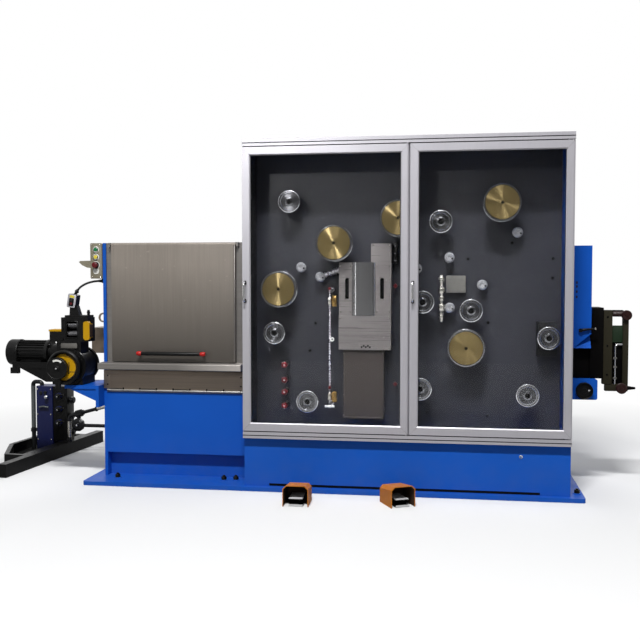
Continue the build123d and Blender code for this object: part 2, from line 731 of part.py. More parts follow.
# Coolant stand: a skid of one long beam and a pan, a box, a valve column and pipes
skid_pos = Pos(skid_x, skid_y, 0) * Rot(0, 0, skid_turn)
skid = Pos(-skid_beam / 2, skid_length / 2, skid_height / 2) * Box(skid_beam, skid_length, skid_height)
pan_outline = [(-skid_beam + 1, 300), (-skid_beam + 1, 1150), (-400, 1150), (-400, 640), (-215, 300)]
pan_face = make_face(Polyline(*pan_outline, close=True))
skid += extrude(pan_face, skid_height)
skid -= Pos(0, 0, 20) * extrude(offset(pan_face, amount=-pan_wall, kind=Kind.INTERSECTION), skid_height)
parts["coolant_skid"] = skid_pos * skid
stand_y = skid_y + 840
navy_left = skid_x - 202
navy_right = skid_x - 73
navy_top = 503.0
column_right = skid_x + 39
stand_box = slab(navy_left, navy_right, stand_y, stand_y + 150, 20, navy_top)
stand_box = fillet(stand_box.edges().filter_by(Axis.Z), 6)
stand_box += slab(navy_right - 1, column_right, stand_y + 10, stand_y + 130, skid_height, navy_top - 3)
for valve_z in (430, 330, 230):
    stand_box += rod_y(column_right - 60, stand_y - 14, stand_y + 12, valve_z, 24)
parts["coolant_box"] = stand_box - parts["coolant_skid"]
pipe_x = navy_left - 47
pipe_y = stand_y + 50
crown_z = navy_top + 27
loop = FilletPolyline(
    (pipe_x, pipe_y, 20), (pipe_x, pipe_y, crown_z), (navy_left + 25, pipe_y, crown_z),
    (navy_left + 25, pipe_y, navy_top), radius=24,
)
standpipe = sweep(Plane(origin=(pipe_x, pipe_y, 20), z_dir=(0, 0, 1)) * Circle(pipe_r + 3), path=loop)
standpipe += rod_z(pipe_x, pipe_y, 150, 176, pipe_r + 9)
feed_y = stand_y - 15
feed_x = column_right + 28
feed_low = 284.0
feed_high = 442.0
feed_path = FilletPolyline(
    (feed_x, feed_y, skid_height), (feed_x, feed_y, feed_low), (draw_left, feed_y, feed_high), radius=30,
)
feed = sweep(Plane(origin=(feed_x, feed_y, skid_height), z_dir=(0, 0, 1)) * Circle(pipe_r), path=feed_path)
feed += rod_z(feed_x, feed_y, skid_height, skid_height + 20, pipe_r + 9)
pipe_dir = Vector(draw_left - feed_x, 0, feed_high - feed_low).normalized()
union_plane = Plane(origin=Vector(feed_x, feed_y, feed_low) + pipe_dir * 44, z_dir=pipe_dir)
feed += extrude(union_plane * Circle(pipe_r + 6), 76)
feed += extrude(union_plane.offset(12) * RegularPolygon(pipe_r + 14, 6), 52)
valve_x = feed_x + 76
valve_z = 222.0
valve = [
    (0, feed_y - 32), (30, feed_y - 32), (30, feed_y - 20), (47, feed_y - 20), (47, feed_y), (30, feed_y),
    (30, feed_y + 22), (0, feed_y + 22),
]
feed += turned(valve, valve_x, valve_z)
feed += rod_z(valve_x, feed_y, valve_z + 20, feed_low + 18, pipe_r + 2)
feed += rod_x(valve_x, draw_left, feed_y, valve_z - 6, pipe_r)
feed -= slab(draw_left, draw_left + 60, feed_y - 60, feed_y + 60, 100, 600)
parts["coolant_pipes"] = group([standpipe, feed])

# Wire outlet: side box with a slanted lower edge over a sloping pocket
exit_right = cab_right + exit_width
slant_x = exit_right - 106
slant_z = exit_low + 90
exit_outline = [
    (cab_right, exit_top), (exit_right, exit_top), (exit_right, slant_z), (slant_x, exit_low),
    (cab_right, exit_low),
]
outlet = prism_y(exit_outline, exit_front, exit_back)
pocket = [(exit_front, exit_low), (exit_front + 70, slant_z), (exit_back, slant_z), (exit_back, exit_low)]
parts["exit_box"] = outlet + prism_x(pocket, slant_x, exit_right)

# Bracket with a handwheel
hand_x = cab_right + 113
hand_z = bracket_low + 59
bracket_right = cab_right + bracket_length
bracket = slab(cab_right, bracket_right, exit_front, exit_front + 150, bracket_low, bracket_high)
bracket = fillet(bracket.edges().filter_by(Axis.Y).group_by(Axis.X)[-1], 12)
bracket -= rod_y(hand_x, exit_front - 1, exit_front + 40, hand_z, 10 + run_play)
parts["exit_bracket"] = bracket
hand = [
    (0, exit_front - 42), (16, exit_front - 42), (18, exit_front - 36), (hand_r - 8, exit_front - 32),
    (hand_r, exit_front - 42), (hand_r, exit_front - 22), (30, exit_front - 22), (26, exit_front - 8),
    (10, exit_front - 8), (10, exit_front + 38), (0, exit_front + 38),
]
parts["exit_handwheel"] = turned(hand, hand_x, hand_z)

# Guide frame: dark panels, a khaki post, a bar, rails, a green plate, rollers and a bent tube
post_x = exit_right + 79
bar_x = post_x + 121
rail_z = bracket_high - 35
frame_top = rail_z + 462
guide = slab(exit_right, post_x + 3, guide_front - 10, guide_front + 190, bracket_high, frame_top + 15)
guide += slab(cab_right, exit_right + 1, guide_front, guide_front + 190, bracket_high, exit_low - 2)
guide += slab(post_x, post_x + 57, guide_front - 2, guide_front + 40, rail_z - 1, frame_top)
guide += slab(post_x + 56, bar_x + 1, guide_front + 5, guide_front + 35, frame_top - 40, frame_top)
guide += slab(post_x + 17, bar_x + 34, guide_front + 2, guide_front + 38, rail_z - 44, rail_z)
guide += slab(bar_x, bar_x + 34, guide_front, guide_front + 40, rail_z - 1, frame_top - 4)
guide += slab(post_x + 56, bar_x + 1, guide_front + 14, guide_front + 22, rail_z + 261, rail_z + 366)
guide += slab(post_x + 56, bar_x + 1, guide_front + 30, guide_front + 38, rail_z - 1, rail_z + 262)
guide += rod_y(bar_x + 18, guide_front - 25, guide_front + 1, frame_top - 31, 31)
guide += rod_x(post_x + 57, bar_x + 1, guide_front + 2, frame_top - 24, 17)
guide += rod_y(bar_x - 6, guide_front - 25, guide_front + 3, rail_z - 25, 33)
spindle = Plane(origin=(bar_x + 20, guide_front + 12, rail_z - 24), z_dir=(1, 0, 0))
guide += loft([spindle * Circle(13), spindle.offset(62) * Circle(7)])
tube_x = post_x + 78
bend = FilletPolyline(
    (tube_x, guide_front + 12, rail_z), (tube_x, guide_front + 12, rail_z + 248),
    (bar_x, guide_front + 12, rail_z + 248), radius=18,
)
bent_tube = sweep(Plane(origin=(tube_x, guide_front + 12, rail_z), z_dir=(0, 0, 1)) * Circle(6), path=bend)
parts["exit_frame"] = group([guide, bent_tube])


def hood_section(half, height, y, floor):
    """Section of a foot switch hood at one depth: straight walls and a roof with sloping corners."""
    outline = [
        (-half, y, floor), (-half, y, height - foot_chamfer), (foot_chamfer - half, y, height),
        (half - foot_chamfer, y, height), (half, y, height - foot_chamfer), (half, y, floor),
    ]
    return make_face(Polyline(*outline, close=True))


# Foot switches: a sheet hood with a falling roof over a base, and a tread on a pin between two ears
guards = []
half = foot_width / 2
for index, (foot_x, foot_y, turn) in enumerate(foot_places):
    place = Pos(foot_x, foot_y, 0) * Rot(0, 0, turn)
    hood = loft([
        hood_section(half, foot_front_height, 0, 0),
        hood_section(half, foot_back_height, foot_depth, 0),
    ])
    fall = (foot_front_height - foot_back_height) / foot_depth
    hollow_end = foot_depth - foot_wall
    hood -= loft([
        hood_section(half - foot_wall, foot_front_height - foot_wall + fall, -1, -1),
        hood_section(half - foot_wall, foot_back_height - foot_wall + fall * foot_wall, hollow_end, -1),
    ])
    hood += slab(1 - half, half - 1, foot_depth - 80, foot_depth - 1, 0, 6)
    hood += slab(-tread_width / 2 - 2, tread_width / 2 + 2, 10, foot_depth - 20, 0, 8)
    pin_z = tread_low - 4
    for ear_x in (-tread_width / 2 - 8, tread_width / 2 + 2):
        ear = slab(ear_x, ear_x + 6, tread_pin_y - 14, tread_pin_y + 12, 0, pin_z + 12)
        hood += ear - rod_x(ear_x - 1, ear_x + 7, tread_pin_y, pin_z, tread_pin_r + run_play)
    guards.append(place * hood)
    tread = slab(-tread_width / 2, tread_width / 2, 14, tread_pin_y + 8, tread_low, tread_low + tread_thick)
    tread += rod_x(-tread_width / 2, tread_width / 2, tread_pin_y, pin_z, 8)
    tread += rod_x(-tread_width / 2 - 7, tread_width / 2 + 7, tread_pin_y, pin_z, tread_pin_r)
    side = ("left", "right")[index]
    parts[side + "_pedal"] = place * tread
parts["pedal_guards"] = group(guards)

os.makedirs("parts", exist_ok=True)
for name, shape in parts.items():
    export_step(shape, f"parts/{name}.step")
print(len(parts), "pieces")
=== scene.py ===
# %% [markdown]
# # Dressing a wire drawing machine
# The solids of the machine come in as a fixed frame, in metres, with X along the front, Y towards the back
# and Z up. Everything made here is a skin, a fitting or a finish that sits on that frame, so nothing has to
# be fitted by eye: every number below is a place on the machine.

# %% Load the frame
import math
import bmesh
import bpy
import numpy as np
from mathutils import Matrix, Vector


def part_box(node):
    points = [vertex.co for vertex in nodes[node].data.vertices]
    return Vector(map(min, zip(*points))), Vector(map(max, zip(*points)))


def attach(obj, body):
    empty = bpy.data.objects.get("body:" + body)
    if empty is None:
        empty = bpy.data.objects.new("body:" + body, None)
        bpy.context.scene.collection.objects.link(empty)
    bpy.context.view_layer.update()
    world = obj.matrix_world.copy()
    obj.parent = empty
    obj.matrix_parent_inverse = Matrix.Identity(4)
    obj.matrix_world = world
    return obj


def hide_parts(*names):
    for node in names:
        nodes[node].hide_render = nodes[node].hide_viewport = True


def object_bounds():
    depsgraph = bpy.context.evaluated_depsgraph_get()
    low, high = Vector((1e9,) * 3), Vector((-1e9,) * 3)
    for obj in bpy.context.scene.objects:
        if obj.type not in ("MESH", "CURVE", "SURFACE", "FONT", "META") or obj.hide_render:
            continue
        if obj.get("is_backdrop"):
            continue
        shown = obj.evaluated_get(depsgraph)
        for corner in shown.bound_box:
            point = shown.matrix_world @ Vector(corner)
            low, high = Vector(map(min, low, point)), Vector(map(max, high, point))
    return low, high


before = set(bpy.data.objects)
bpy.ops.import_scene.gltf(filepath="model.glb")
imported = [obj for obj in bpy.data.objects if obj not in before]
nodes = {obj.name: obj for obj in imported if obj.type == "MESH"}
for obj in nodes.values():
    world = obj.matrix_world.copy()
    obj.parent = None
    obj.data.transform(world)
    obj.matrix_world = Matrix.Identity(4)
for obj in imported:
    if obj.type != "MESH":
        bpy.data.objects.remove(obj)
cad_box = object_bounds()
scene = bpy.context.scene

# %% [markdown]
# ## Camera
# The machine is seen from a standing height, a little to the right of its middle. The lines that run into
# the depth meet at one point of the picture, and that point and the focal length in pixels fix how the
# camera turns. Working the turn out from it is surer than nudging a camera by hand.

# %% Camera
picture, focal, sensor = 640.0, 870.0, 36.0
middle = picture / 2
depth_point = np.array([450.0, 279.0])
eye = (0.755, -5.8, 1.31)


def unit(vectors):
    """Vectors of length one."""
    return vectors / np.linalg.norm(vectors, axis=-1, keepdims=True)


def posed(obj, right, up, back, place):
    """Puts an object at a place, with its own X, Y and Z along three directions."""
    matrix = np.eye(4)
    matrix[:3] = np.stack([right, up, back, place], axis=1)
    obj.matrix_world = Matrix(matrix.tolist())
    scene.collection.objects.link(obj)
    return obj


off_x, off_y = depth_point - middle
into = unit(np.array([off_x, off_y, focal]))
across = np.array([(focal**2 + off_y**2) / off_x, -off_y, -focal])
across = unit(across - into * (across @ into))
turn = np.stack([across, into, np.cross(across, into)])
camera = bpy.data.objects.new("camera", bpy.data.cameras.new("camera"))
posed(camera, turn[:, 0], -turn[:, 1], -turn[:, 2], eye)
camera.data.sensor_width = sensor
camera.data.lens = focal / picture * sensor
scene.camera = camera
print("lens", round(camera.data.lens, 2), "mm")

# %% [markdown]
# ## The switch cable
# A short black cable leaves the end plate of the drawing section under the control box and hangs over to the
# switch box on the pointing unit. A curve through the points of its route, with a round bevel, is a cable of
# one length that can't be stretched by accident, so it is made before anything else. Each point carries the
# cable's own radius under a bevel of one, which keeps the curve's box true to size.

# %% Switch cable
cable_route = np.array([
    (-1.475, -0.402, 1.2975), (-1.522, -0.402, 1.2975), (-1.568, -0.410, 1.2885), (-1.6025, -0.420, 1.273),
    (-1.6255, -0.428, 1.2555), (-1.6395, -0.432, 1.2395), (-1.648, -0.432, 1.225),
])
cable_width = 0.014
cable_line = bpy.data.curves.new("switch_cable_line", "CURVE")
cable_line.dimensions = "3D"
cable_line.bevel_depth = 1.0
cable_line.bevel_resolution = 5
run = cable_line.splines.new("NURBS")
run.points.add(len(cable_route) - 1)
run.points.foreach_set("co", np.c_[cable_route, np.ones(len(cable_route))].ravel())
run.points.foreach_set("radius", np.full(len(cable_route), cable_width / 2))
run.order_u = 3
run.use_endpoint_u = True
run.resolution_u = 10
cable = bpy.data.objects.new("switch_cable_line", cable_line)
scene.collection.objects.link(cable)
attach(cable, "machine")
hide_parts("switch_cable")
print("cable points", len(cable_route))

# %% [markdown]
# ## Shader nodes
# Lights and finishes are node trees. A few helpers keep them short: one adds a node and fills its inputs
# with values or with other nodes' outputs, and the rest are the nodes that come back again and again.

# %% Node helpers
def feed(tree, node, inputs):
    """Fills inputs of a node: each pairs a socket's name or number with a value or another node's output."""
    for key, value in dict(inputs).items():
        if isinstance(value, bpy.types.NodeSocket):
            tree.links.new(value, node.inputs[key])
        else:
            node.inputs[key].default_value = value


def add(tree, kind, inputs=(), **settings):
    """Adds a shader node with its settings and fills its inputs."""
    node = tree.nodes.new("ShaderNode" + kind)
    for name, value in settings.items():
        setattr(node, name, value)
    feed(tree, node, inputs)
    return node


def maths(tree, operation, *values):
    """The result of one sum on values or sockets."""
    return add(tree, "Math", enumerate(values), operation=operation).outputs[0]


def spread(tree, value, low, high, from_low=0.3, from_high=0.7):
    """Maps a value from one range to another, clamped."""
    ends = {"From Min": from_low, "From Max": from_high, "To Min": low, "To Max": high}
    return add(tree, "MapRange", {"Value": value, **ends}).outputs["Result"]


def coordinate(tree, axis):
    """One of the object's own coordinates at the shaded point."""
    return add(tree, "SeparateXYZ", {0: add(tree, "TexCoord").outputs["Object"]}).outputs[axis]


def blank(name):
    """A material with one Principled shader, and its node tree."""
    mat = bpy.data.materials.new(name)
    mat.use_nodes = True
    return mat, mat.node_tree, mat.node_tree.nodes["Principled BSDF"]


def show(tree, shader):
    """Makes a shader node the one that the surface shows."""
    feed(tree, tree.nodes["Material Output"], {"Surface": shader.outputs[0]})


def sheet(name, points, finish):
    """One flat face through four points, for the stage."""
    mesh = bpy.data.meshes.new(name)
    mesh.from_pydata(points, [], [(0, 1, 2, 3)])
    mesh.materials.append(finish)
    obj = bpy.data.objects.new(name, mesh)
    scene.collection.objects.link(obj)
    return obj


# %% [markdown]
# ## Light
# A long strip lamp high in front throws the short crisp shadows under the cabinet's sill and in the toe
# recess, and a pale world fills the rest. The background is white only for rays that look straight at it,
# mirror it or pass through glass on their way from the camera, so the machine itself is lit at a plain
# level. A small lamp that only metal mirrors draws the bright spokes on the turned wheels. A dim card behind
# the camera gives chrome and glass something darker to mirror, and one bright upright band on it draws the
# thin upright gleam on rounded covers.

# %% World and lamps
scene.view_settings.view_transform = "Standard"
WHITE = (1, 1, 1, 1)
fill_colour, fill_strength = (0.97, 0.985, 1.0, 1), 0.28


def lamp(name, place, aim, size, power):
    """A soft box of a width and a height at a place, facing a point."""
    data = bpy.data.lights.new(name, "AREA")
    data.shape = "RECTANGLE"
    data.size, data.size_y = size
    data.energy = power
    back = unit(np.subtract(place, aim))
    right = unit(np.cross((0, 0, 1.0), back))
    return posed(bpy.data.objects.new(name, data), right, np.cross(back, right), back, place)


world = bpy.data.worlds.new("studio")
scene.world = world
world.use_nodes = True
tree = world.node_tree
tree.nodes.clear()
path = add(tree, "LightPath").outputs
seen = maths(tree, "MAXIMUM", path["Is Camera Ray"], path["Is Transmission Ray"])
seen = maths(tree, "MAXIMUM", seen, path["Is Glossy Ray"])
straight = maths(tree, "LESS_THAN", path["Diffuse Depth"], 0.5)
fill = add(tree, "Background", {"Color": fill_colour, "Strength": fill_strength})
white = add(tree, "Background", {"Color": WHITE, "Strength": 1.0})
choice = {0: maths(tree, "MULTIPLY", seen, straight), 1: fill.outputs[0], 2: white.outputs[0]}
add(tree, "OutputWorld", {"Surface": add(tree, "MixShader", choice).outputs[0]})
lamp("key", (0.2, -6.2, 8.6), (0.0, -0.4, 0.9), (2.6, 0.5), 1040)
lamp("back_light", (-1.0, 6.5, 5.0), (0.0, 0.4, 1.0), (3.0, 3.0), 240)
spark = lamp("spark", (-1.6, -6.5, 3.6), (0.4, -0.4, 1.3), (0.3, 0.3), 150)
spark.visible_diffuse = False

# %% Dim card behind the camera
card_half, card_y, card_top = 18, -9, 8
band_x, band_half, band_strength = -6.0, 0.35, 3.0
card_mat, tree, shader = blank("dim_card")
tree.nodes.remove(shader)
level = spread(tree, coordinate(tree, "Z"), 0.22, 0.05, 0.6, 3.4)
band = maths(tree, "COMPARE", coordinate(tree, "X"), band_x, band_half)
show(tree, add(tree, "Emission", {"Strength": maths(tree, "MULTIPLY_ADD", band, band_strength, level)}))
card = sheet("dim_card", [(-card_half, card_y, 0), (card_half, card_y, 0), (card_half, card_y, card_top),
                          (-card_half, card_y, card_top)], card_mat)
card.visible_camera = card.visible_diffuse = card.visible_shadow = False
card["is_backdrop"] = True

# %% [markdown]
# ## Tools for surfaces
# Every new piece is a surface on a grid: a line turned about an axis, an outline carried along a path, or a
# rounded rectangle that closes in at its ends. Whole arrays of points are worked out at once, and one
# function puts them into a mesh, closes the poles and turns the faces outwards. Places on the machine are in
# metres. The small numbers that shape a fitting, such as the points of a turned line, an edge's radius or a
# tube's, are in millimetres.

# %% Grid surfaces
MM = 0.001
ALONG_X, ALONG_Y, ALONG_Z = np.eye(3)
AXES = {"x": (ALONG_Y, ALONG_Z, ALONG_X), "y": (ALONG_X, ALONG_Z, ALONG_Y), "z": (ALONG_X, ALONG_Y, ALONG_Z)}


def corners(node):
    """The lowest and the highest corner of a solid, in metres."""
    low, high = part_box(node)
    return np.array(low), np.array(high)


def grid_faces(rows, columns, wrap_rows=False, wrap_columns=False):
    """Quads of a grid: each joins a point, its neighbour in the row and the two in the next row."""
    last_row = rows if wrap_rows else rows - 1
    last_column = columns if wrap_columns else columns - 1
    i, j = np.meshgrid(np.arange(last_row), np.arange(last_column), indexing="ij")
    n, m = (i + 1) % rows, (j + 1) % columns
    quads = [i * columns + j, i * columns + m, n * columns + m, n * columns + j]
    return np.stack(quads, axis=-1).reshape(-1, 4)


def capped(points, rows, columns):
    """Rows of closed rings as a surface, with a flat face at each end."""
    ends = np.array([np.arange(columns), (rows - 1) * columns + np.arange(columns)])
    return points.reshape(-1, 3), [grid_faces(rows, columns, wrap_columns=True), ends]


def lathe(profile, centre=(0, 0, 0), axis="y", steps=64, lobes=0, lobe=0.0):
    """A (radius, distance) line turned about an axis: centre + distance * axis + radius * (1 + lobe *
    cos(lobes * t)) * (cos t, sin t). Radius 0 at an end makes a pole; six steps make a hexagon."""
    radius, along = np.asarray(profile, float).T * MM
    t = np.linspace(0, 2 * np.pi, steps, endpoint=False)
    u, v, w = AXES[axis]
    ring = np.cos(t)[:, None] * u + np.sin(t)[:, None] * v
    swell = 1 + lobe * np.cos(lobes * t)
    wide = (swell[:, None] * radius)[..., None] * ring[:, None]
    points = np.asarray(centre, float) + along[:, None] * w + wide
    return points.reshape(-1, 3), [grid_faces(steps, len(radius), wrap_rows=True)]


def rounded_block(low, high, corner, edge, axis="y", corner_steps=4, edge_steps=3):
    """A rounded rectangle carried along an axis. Near each end it shrinks by edge * (1 - sin a) while it
    moves on by edge * (1 - cos a), so the rims are round too, and a flat face closes each end."""
    low, high = np.asarray(low, float), np.asarray(high, float)
    u, v, w = AXES[axis]
    edge = edge * MM
    corner = max(corner * MM, edge * 1.02)
    mid, half = (low + high) / 2, (high - low) / 2
    turn_by = np.linspace(0, np.pi / 2, corner_steps)
    angles = (np.arange(4)[:, None] * np.pi / 2 + turn_by).ravel()
    sign_u, sign_v = np.repeat([[1, -1, -1, 1], [1, 1, -1, -1]], corner_steps, axis=1)
    a = np.linspace(0, np.pi / 2, edge_steps)
    shrink, move = edge * (1 - np.sin(a)), edge * (1 - np.cos(a))
    radius = corner - np.concatenate([shrink, shrink[::-1]])[:, None]
    along = np.concatenate([low @ w + move, high @ w - move[::-1]])
    flat_u = mid @ u + sign_u * (half @ u - corner) + radius * np.cos(angles)
    flat_v = mid @ v + sign_v * (half @ v - corner) + radius * np.sin(angles)
    points = flat_u[..., None] * u + flat_v[..., None] * v + along[:, None, None] * w
    return capped(points, *flat_u.shape)


def tube(path_points, radius, steps=16, up=(0.13, 0.27, 0.95)):
    """A circle carried along a path: path + radius * (cos t * side + sin t * over), square to the path. The
    radius is one number, or one for each point."""
    line = np.asarray(path_points, float)
    ahead = unit(np.gradient(line, axis=0))
    side = unit(np.cross(ahead, np.asarray(up, float)))
    over = np.cross(side, ahead)
    t = np.linspace(0, 2 * np.pi, steps, endpoint=False)[:, None]
    circle = np.cos(t) * side[:, None] + np.sin(t) * over[:, None]
    radius = np.broadcast_to(np.asarray(radius) * MM, len(line))
    return capped(line[:, None] + radius[:, None, None] * circle, len(line), steps)


def bent_path(points, bend, step=4):
    """A line through points, each rounded by a curve that starts and ends one bend length away, then walked
    in equal steps."""
    points = np.asarray(points, float)
    inner = points[1:-1]
    t = np.linspace(0, 1, 9)[:, None]
    before = inner + bend * MM * unit(points[:-2] - inner)
    after = inner + bend * MM * unit(points[2:] - inner)
    curves = (1 - t) ** 2 * before[:, None] + 2 * t * (1 - t) * inner[:, None] + t**2 * after[:, None]
    line = np.concatenate([points[:1], curves.reshape(-1, 3), points[-1:]])
    walked = np.concatenate([[0], np.cumsum(np.linalg.norm(np.diff(line, axis=0), axis=1))])
    stops = np.linspace(0, walked[-1], max(3, int(walked[-1] / (step * MM))))
    return np.stack([np.interp(stops, walked, line[:, k]) for k in range(3)], axis=1)


def mitred_frame(low, high, profile):
    """A closed (inset, depth) outline carried round an upright rectangle: each corner moves in by the inset
    on both sides, and the depth is measured from the low corner."""
    inset, depth = np.asarray(profile, float).T * MM
    mid, half = (low + high) / 2, (high - low) / 2
    sign_x, sign_z = np.array([1, -1, -1, 1])[:, None], np.array([1, 1, -1, -1])[:, None]
    x, z = mid[0] + sign_x * (half[0] - inset), mid[2] + sign_z * (half[2] - inset)
    points = np.stack([x, np.broadcast_to(low[1] + depth, x.shape), z], axis=-1)
    return points.reshape(-1, 3), [grid_faces(4, len(inset), wrap_rows=True, wrap_columns=True)]


def carried(outline, start, stop, axis="y"):
    """A closed (u, v) outline, in metres, carried straight along an axis from start to stop, with flat
    ends."""
    u, v, w = AXES[axis]
    flat = np.asarray(outline, float)
    base = flat[:, :1] * u + flat[:, 1:] * v
    return capped(np.stack([base + start * w, base + stop * w]), 2, len(flat))


def copies(shape, places):
    """The same shape moved to each place."""
    points, faces = shape
    places = np.asarray(places, float)
    step = np.arange(len(places))[:, None, None] * len(points)
    return (points + places[:, None]).reshape(-1, 3), [(f + step).reshape(-1, f.shape[1]) for f in faces]


def turned_about(shape, angle, centre, axis="z"):
    """A shape turned by an angle in degrees about an upright axis, or about a level one that points back."""
    points, faces = shape
    u, v, w = AXES[axis]
    a = math.radians(angle if axis == "z" else -angle)
    pu, pv, pw = ((points - centre) @ direction for direction in (u, v, w))
    nu, nv = pu * math.cos(a) - pv * math.sin(a), pu * math.sin(a) + pv * math.cos(a)
    return centre + nu[:, None] * u + nv[:, None] * v + pw[:, None] * w, faces


def aimed(shape, place, direction):
    """A shape made about the Z axis at the origin, turned so that Z points in a direction, then moved to a
    place."""
    points, faces = shape
    ahead = unit(direction)
    side = unit(np.cross(ahead, (0.13, 0.97, 0.2)))
    return place + points @ np.stack([side, np.cross(ahead, side), ahead]), faces


def arc_plate(centre, radii, angles, depths, steps=14):
    """A flat piece of a ring in front view: a box section of two radii and two depths carried round an
    arc."""
    t = np.radians(np.linspace(*angles, steps))
    (near, far), (front, back) = radii, depths
    section = np.array([(near, front), (far, front), (far, back), (near, back)]) * MM
    ring = np.stack([np.cos(t), np.zeros(steps), np.sin(t)], axis=1)
    points = np.asarray(centre) + section[:, :1] * ring[:, None] + section[:, 1:] * ALONG_Y
    return capped(points, steps, 4)


def bolt_heads(places, radius, height=4, sides=6):
    """Small bolt heads that stand out of an upright face, one at each place on it."""
    line = [(0, -height), (radius * 0.8, -height), (radius, -height * 0.7), (radius, 1), (0, 1)]
    return copies(lathe(line, steps=sides), places)


def face_grid(xs, y, zs):
    """Places on an upright face: every x with every z."""
    return [(x, y, z) for x in xs for z in zs]


# %% One maker for every piece
sharp_angle = math.radians(38.0)


def read(collection, name, kind, width=1):
    """One property of all members of a mesh's collection, as an array."""
    values = np.empty(len(collection) * width, kind)
    collection.foreach_get(name, values)
    return values


def store_turning(mesh, centre):
    """Keeps how a turned face lies: each vertex gets its radius, and a UV map holds the angle about the
    centre, with faces across the seam carried on past one full turn."""
    flat = read(mesh.vertices, "co", np.float32, 3).reshape(-1, 3)[:, [0, 2]] - np.asarray(centre)
    radius = np.hypot(*flat.T)
    kept = mesh.attributes.new("turned_radius", "FLOAT", "POINT")
    kept.data.foreach_set("value", radius.astype(np.float32))
    corner = read(mesh.loops, "vertex_index", np.int32)
    first, count = (read(mesh.polygons, name, np.int32) for name in ("loop_start", "loop_total"))
    angle = (np.arctan2(flat[:, 1], flat[:, 0]) / (2 * np.pi) % 1.0)[corner]
    highest = np.repeat(np.maximum.reduceat(angle, first), count)
    angle = np.where(highest - angle > 0.5, angle + 1.0, angle)
    layer = mesh.uv_layers.new(name="turning")
    layer.data.foreach_set("uv", np.stack([angle, radius[corner] * 4], axis=1).astype(np.float32).ravel())


def piece(name, body, parts, replaces=(), turned=None):
    """Puts (shape, finish) pairs into one mesh, merges the poles, turns the faces outwards and lets it ride
    a body."""
    finishes = list(dict.fromkeys(finish for shape, finish in parts))
    points, faces, paints = [], [], []
    start = 0
    for (shape_points, shape_faces), finish in parts:
        for rows in shape_faces:
            faces += (rows + start).tolist()
            paints += [finishes.index(finish)] * len(rows)
        points.append(shape_points)
        start += len(shape_points)
    mesh = bpy.data.meshes.new(name)
    mesh.from_pydata(np.concatenate(points), [], faces)
    mesh.polygons.foreach_set("material_index", paints)
    work = bmesh.new()
    work.from_mesh(mesh)
    bmesh.ops.remove_doubles(work, verts=work.verts, dist=1e-6)
    bmesh.ops.recalc_face_normals(work, faces=work.faces)
    work.to_mesh(mesh)
    work.free()
    mesh.polygons.foreach_set("use_smooth", np.ones(len(mesh.polygons), bool))
    mesh.set_sharp_from_angle(angle=sharp_angle)
    for finish in finishes:
        mesh.materials.append(finish)
    if turned is not None:
        store_turning(mesh, turned)
    obj = bpy.data.objects.new(name, mesh)
    scene.collection.objects.link(obj)
    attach(obj, body)
    if replaces:
        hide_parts(*replaces)
    print(name, len(mesh.polygons), "faces")
    return obj


# %% [markdown]
# ## Finishes
# The paint is a satin enamel with a faint orange-peel skin and some dust low down; stainless sheet has fine
# scratches along one direction; castings are rough; turned metal has rings. Each finish reads the object's
# own coordinates, so it stays on the piece when the piece moves.

# %% Shader helpers
def srgb(red, green, blue):
    """A colour of 0 to 255 as the linear values that a shader takes."""
    c = np.array([red, green, blue]) / 255.0
    return tuple(np.where(c <= 0.04045, c / 12.92, ((c + 0.055) / 1.055) ** 2.4)) + (1.0,)


def grey(level, blue):
    """A metal's grey, with its own value for blue."""
    return (level, level, blue, 1.0)


def shade(colour, factor):
    """A colour made darker or lighter by a factor."""
    return tuple(min(1.0, c * factor) for c in colour[:3]) + (1.0,)


def cloud(tree, scale, detail=3.0, stretch=None):
    """A noise value at a scale per metre, in object coordinates, stretched by three factors if given."""
    source = add(tree, "TexCoord").outputs["Object"]
    if stretch is not None:
        source = add(tree, "Mapping", {"Scale": stretch, "Vector": source}).outputs["Vector"]
    noise = {"Scale": scale, "Detail": detail, "Roughness": 0.55, "Vector": source}
    return add(tree, "TexNoise", noise).outputs["Fac"]


def blend_colour(tree, factor, first, second):
    """Mixes two colours, given as values or sockets, by a factor socket."""
    return add(tree, "Mix", {"Factor": factor, "A": first, "B": second}, data_type="RGBA").outputs["Result"]


def mottled(tree, value, colour, tone):
    """A colour that drifts to both sides of its tone with a value."""
    return blend_colour(tree, spread(tree, value, 0, 1), shade(colour, 1 - tone), shade(colour, 1 + tone))


def relief(tree, shader, height, strength, distance):
    """Feeds a height into the shader's normal through a Bump node."""
    bump = add(tree, "Bump", {"Strength": strength, "Distance": distance, "Height": height})
    feed(tree, shader, {"Normal": bump.outputs["Normal"]})


# %% Kinds of finish
DUST = srgb(112, 110, 106)
dust_top = 0.35
STRETCH = {"x": (3, 260, 260), "y": (260, 3, 260), "z": (260, 260, 3)}


def skin(name, colour, tone, rough, clouds, raise_by, metal=0.0, gloss=0.3, dust=0.0):
    """A plain finish from three clouds, each a scale and a detail: one shifts the tone, one the roughness,
    and a fine one raises the skin. Dust settles low down in patches."""
    mat, tree, shader = blank(name)
    toned, dulled, raised = (cloud(tree, *pair) for pair in clouds)
    body = mottled(tree, toned, colour, tone)
    if dust:
        low = spread(tree, coordinate(tree, "Z"), dust, 0.0, 0.0, dust_top)
        patch = spread(tree, cloud(tree, 9.0, 6.0), 0.2, 1.0, 0.35, 0.65)
        body = blend_colour(tree, maths(tree, "MULTIPLY", low, patch), body, DUST)
    look = {"Base Color": body, "Roughness": spread(tree, dulled, *rough), "Metallic": metal}
    feed(tree, shader, {**look, "Specular IOR Level": gloss})
    relief(tree, shader, raised, *raise_by)
    return mat


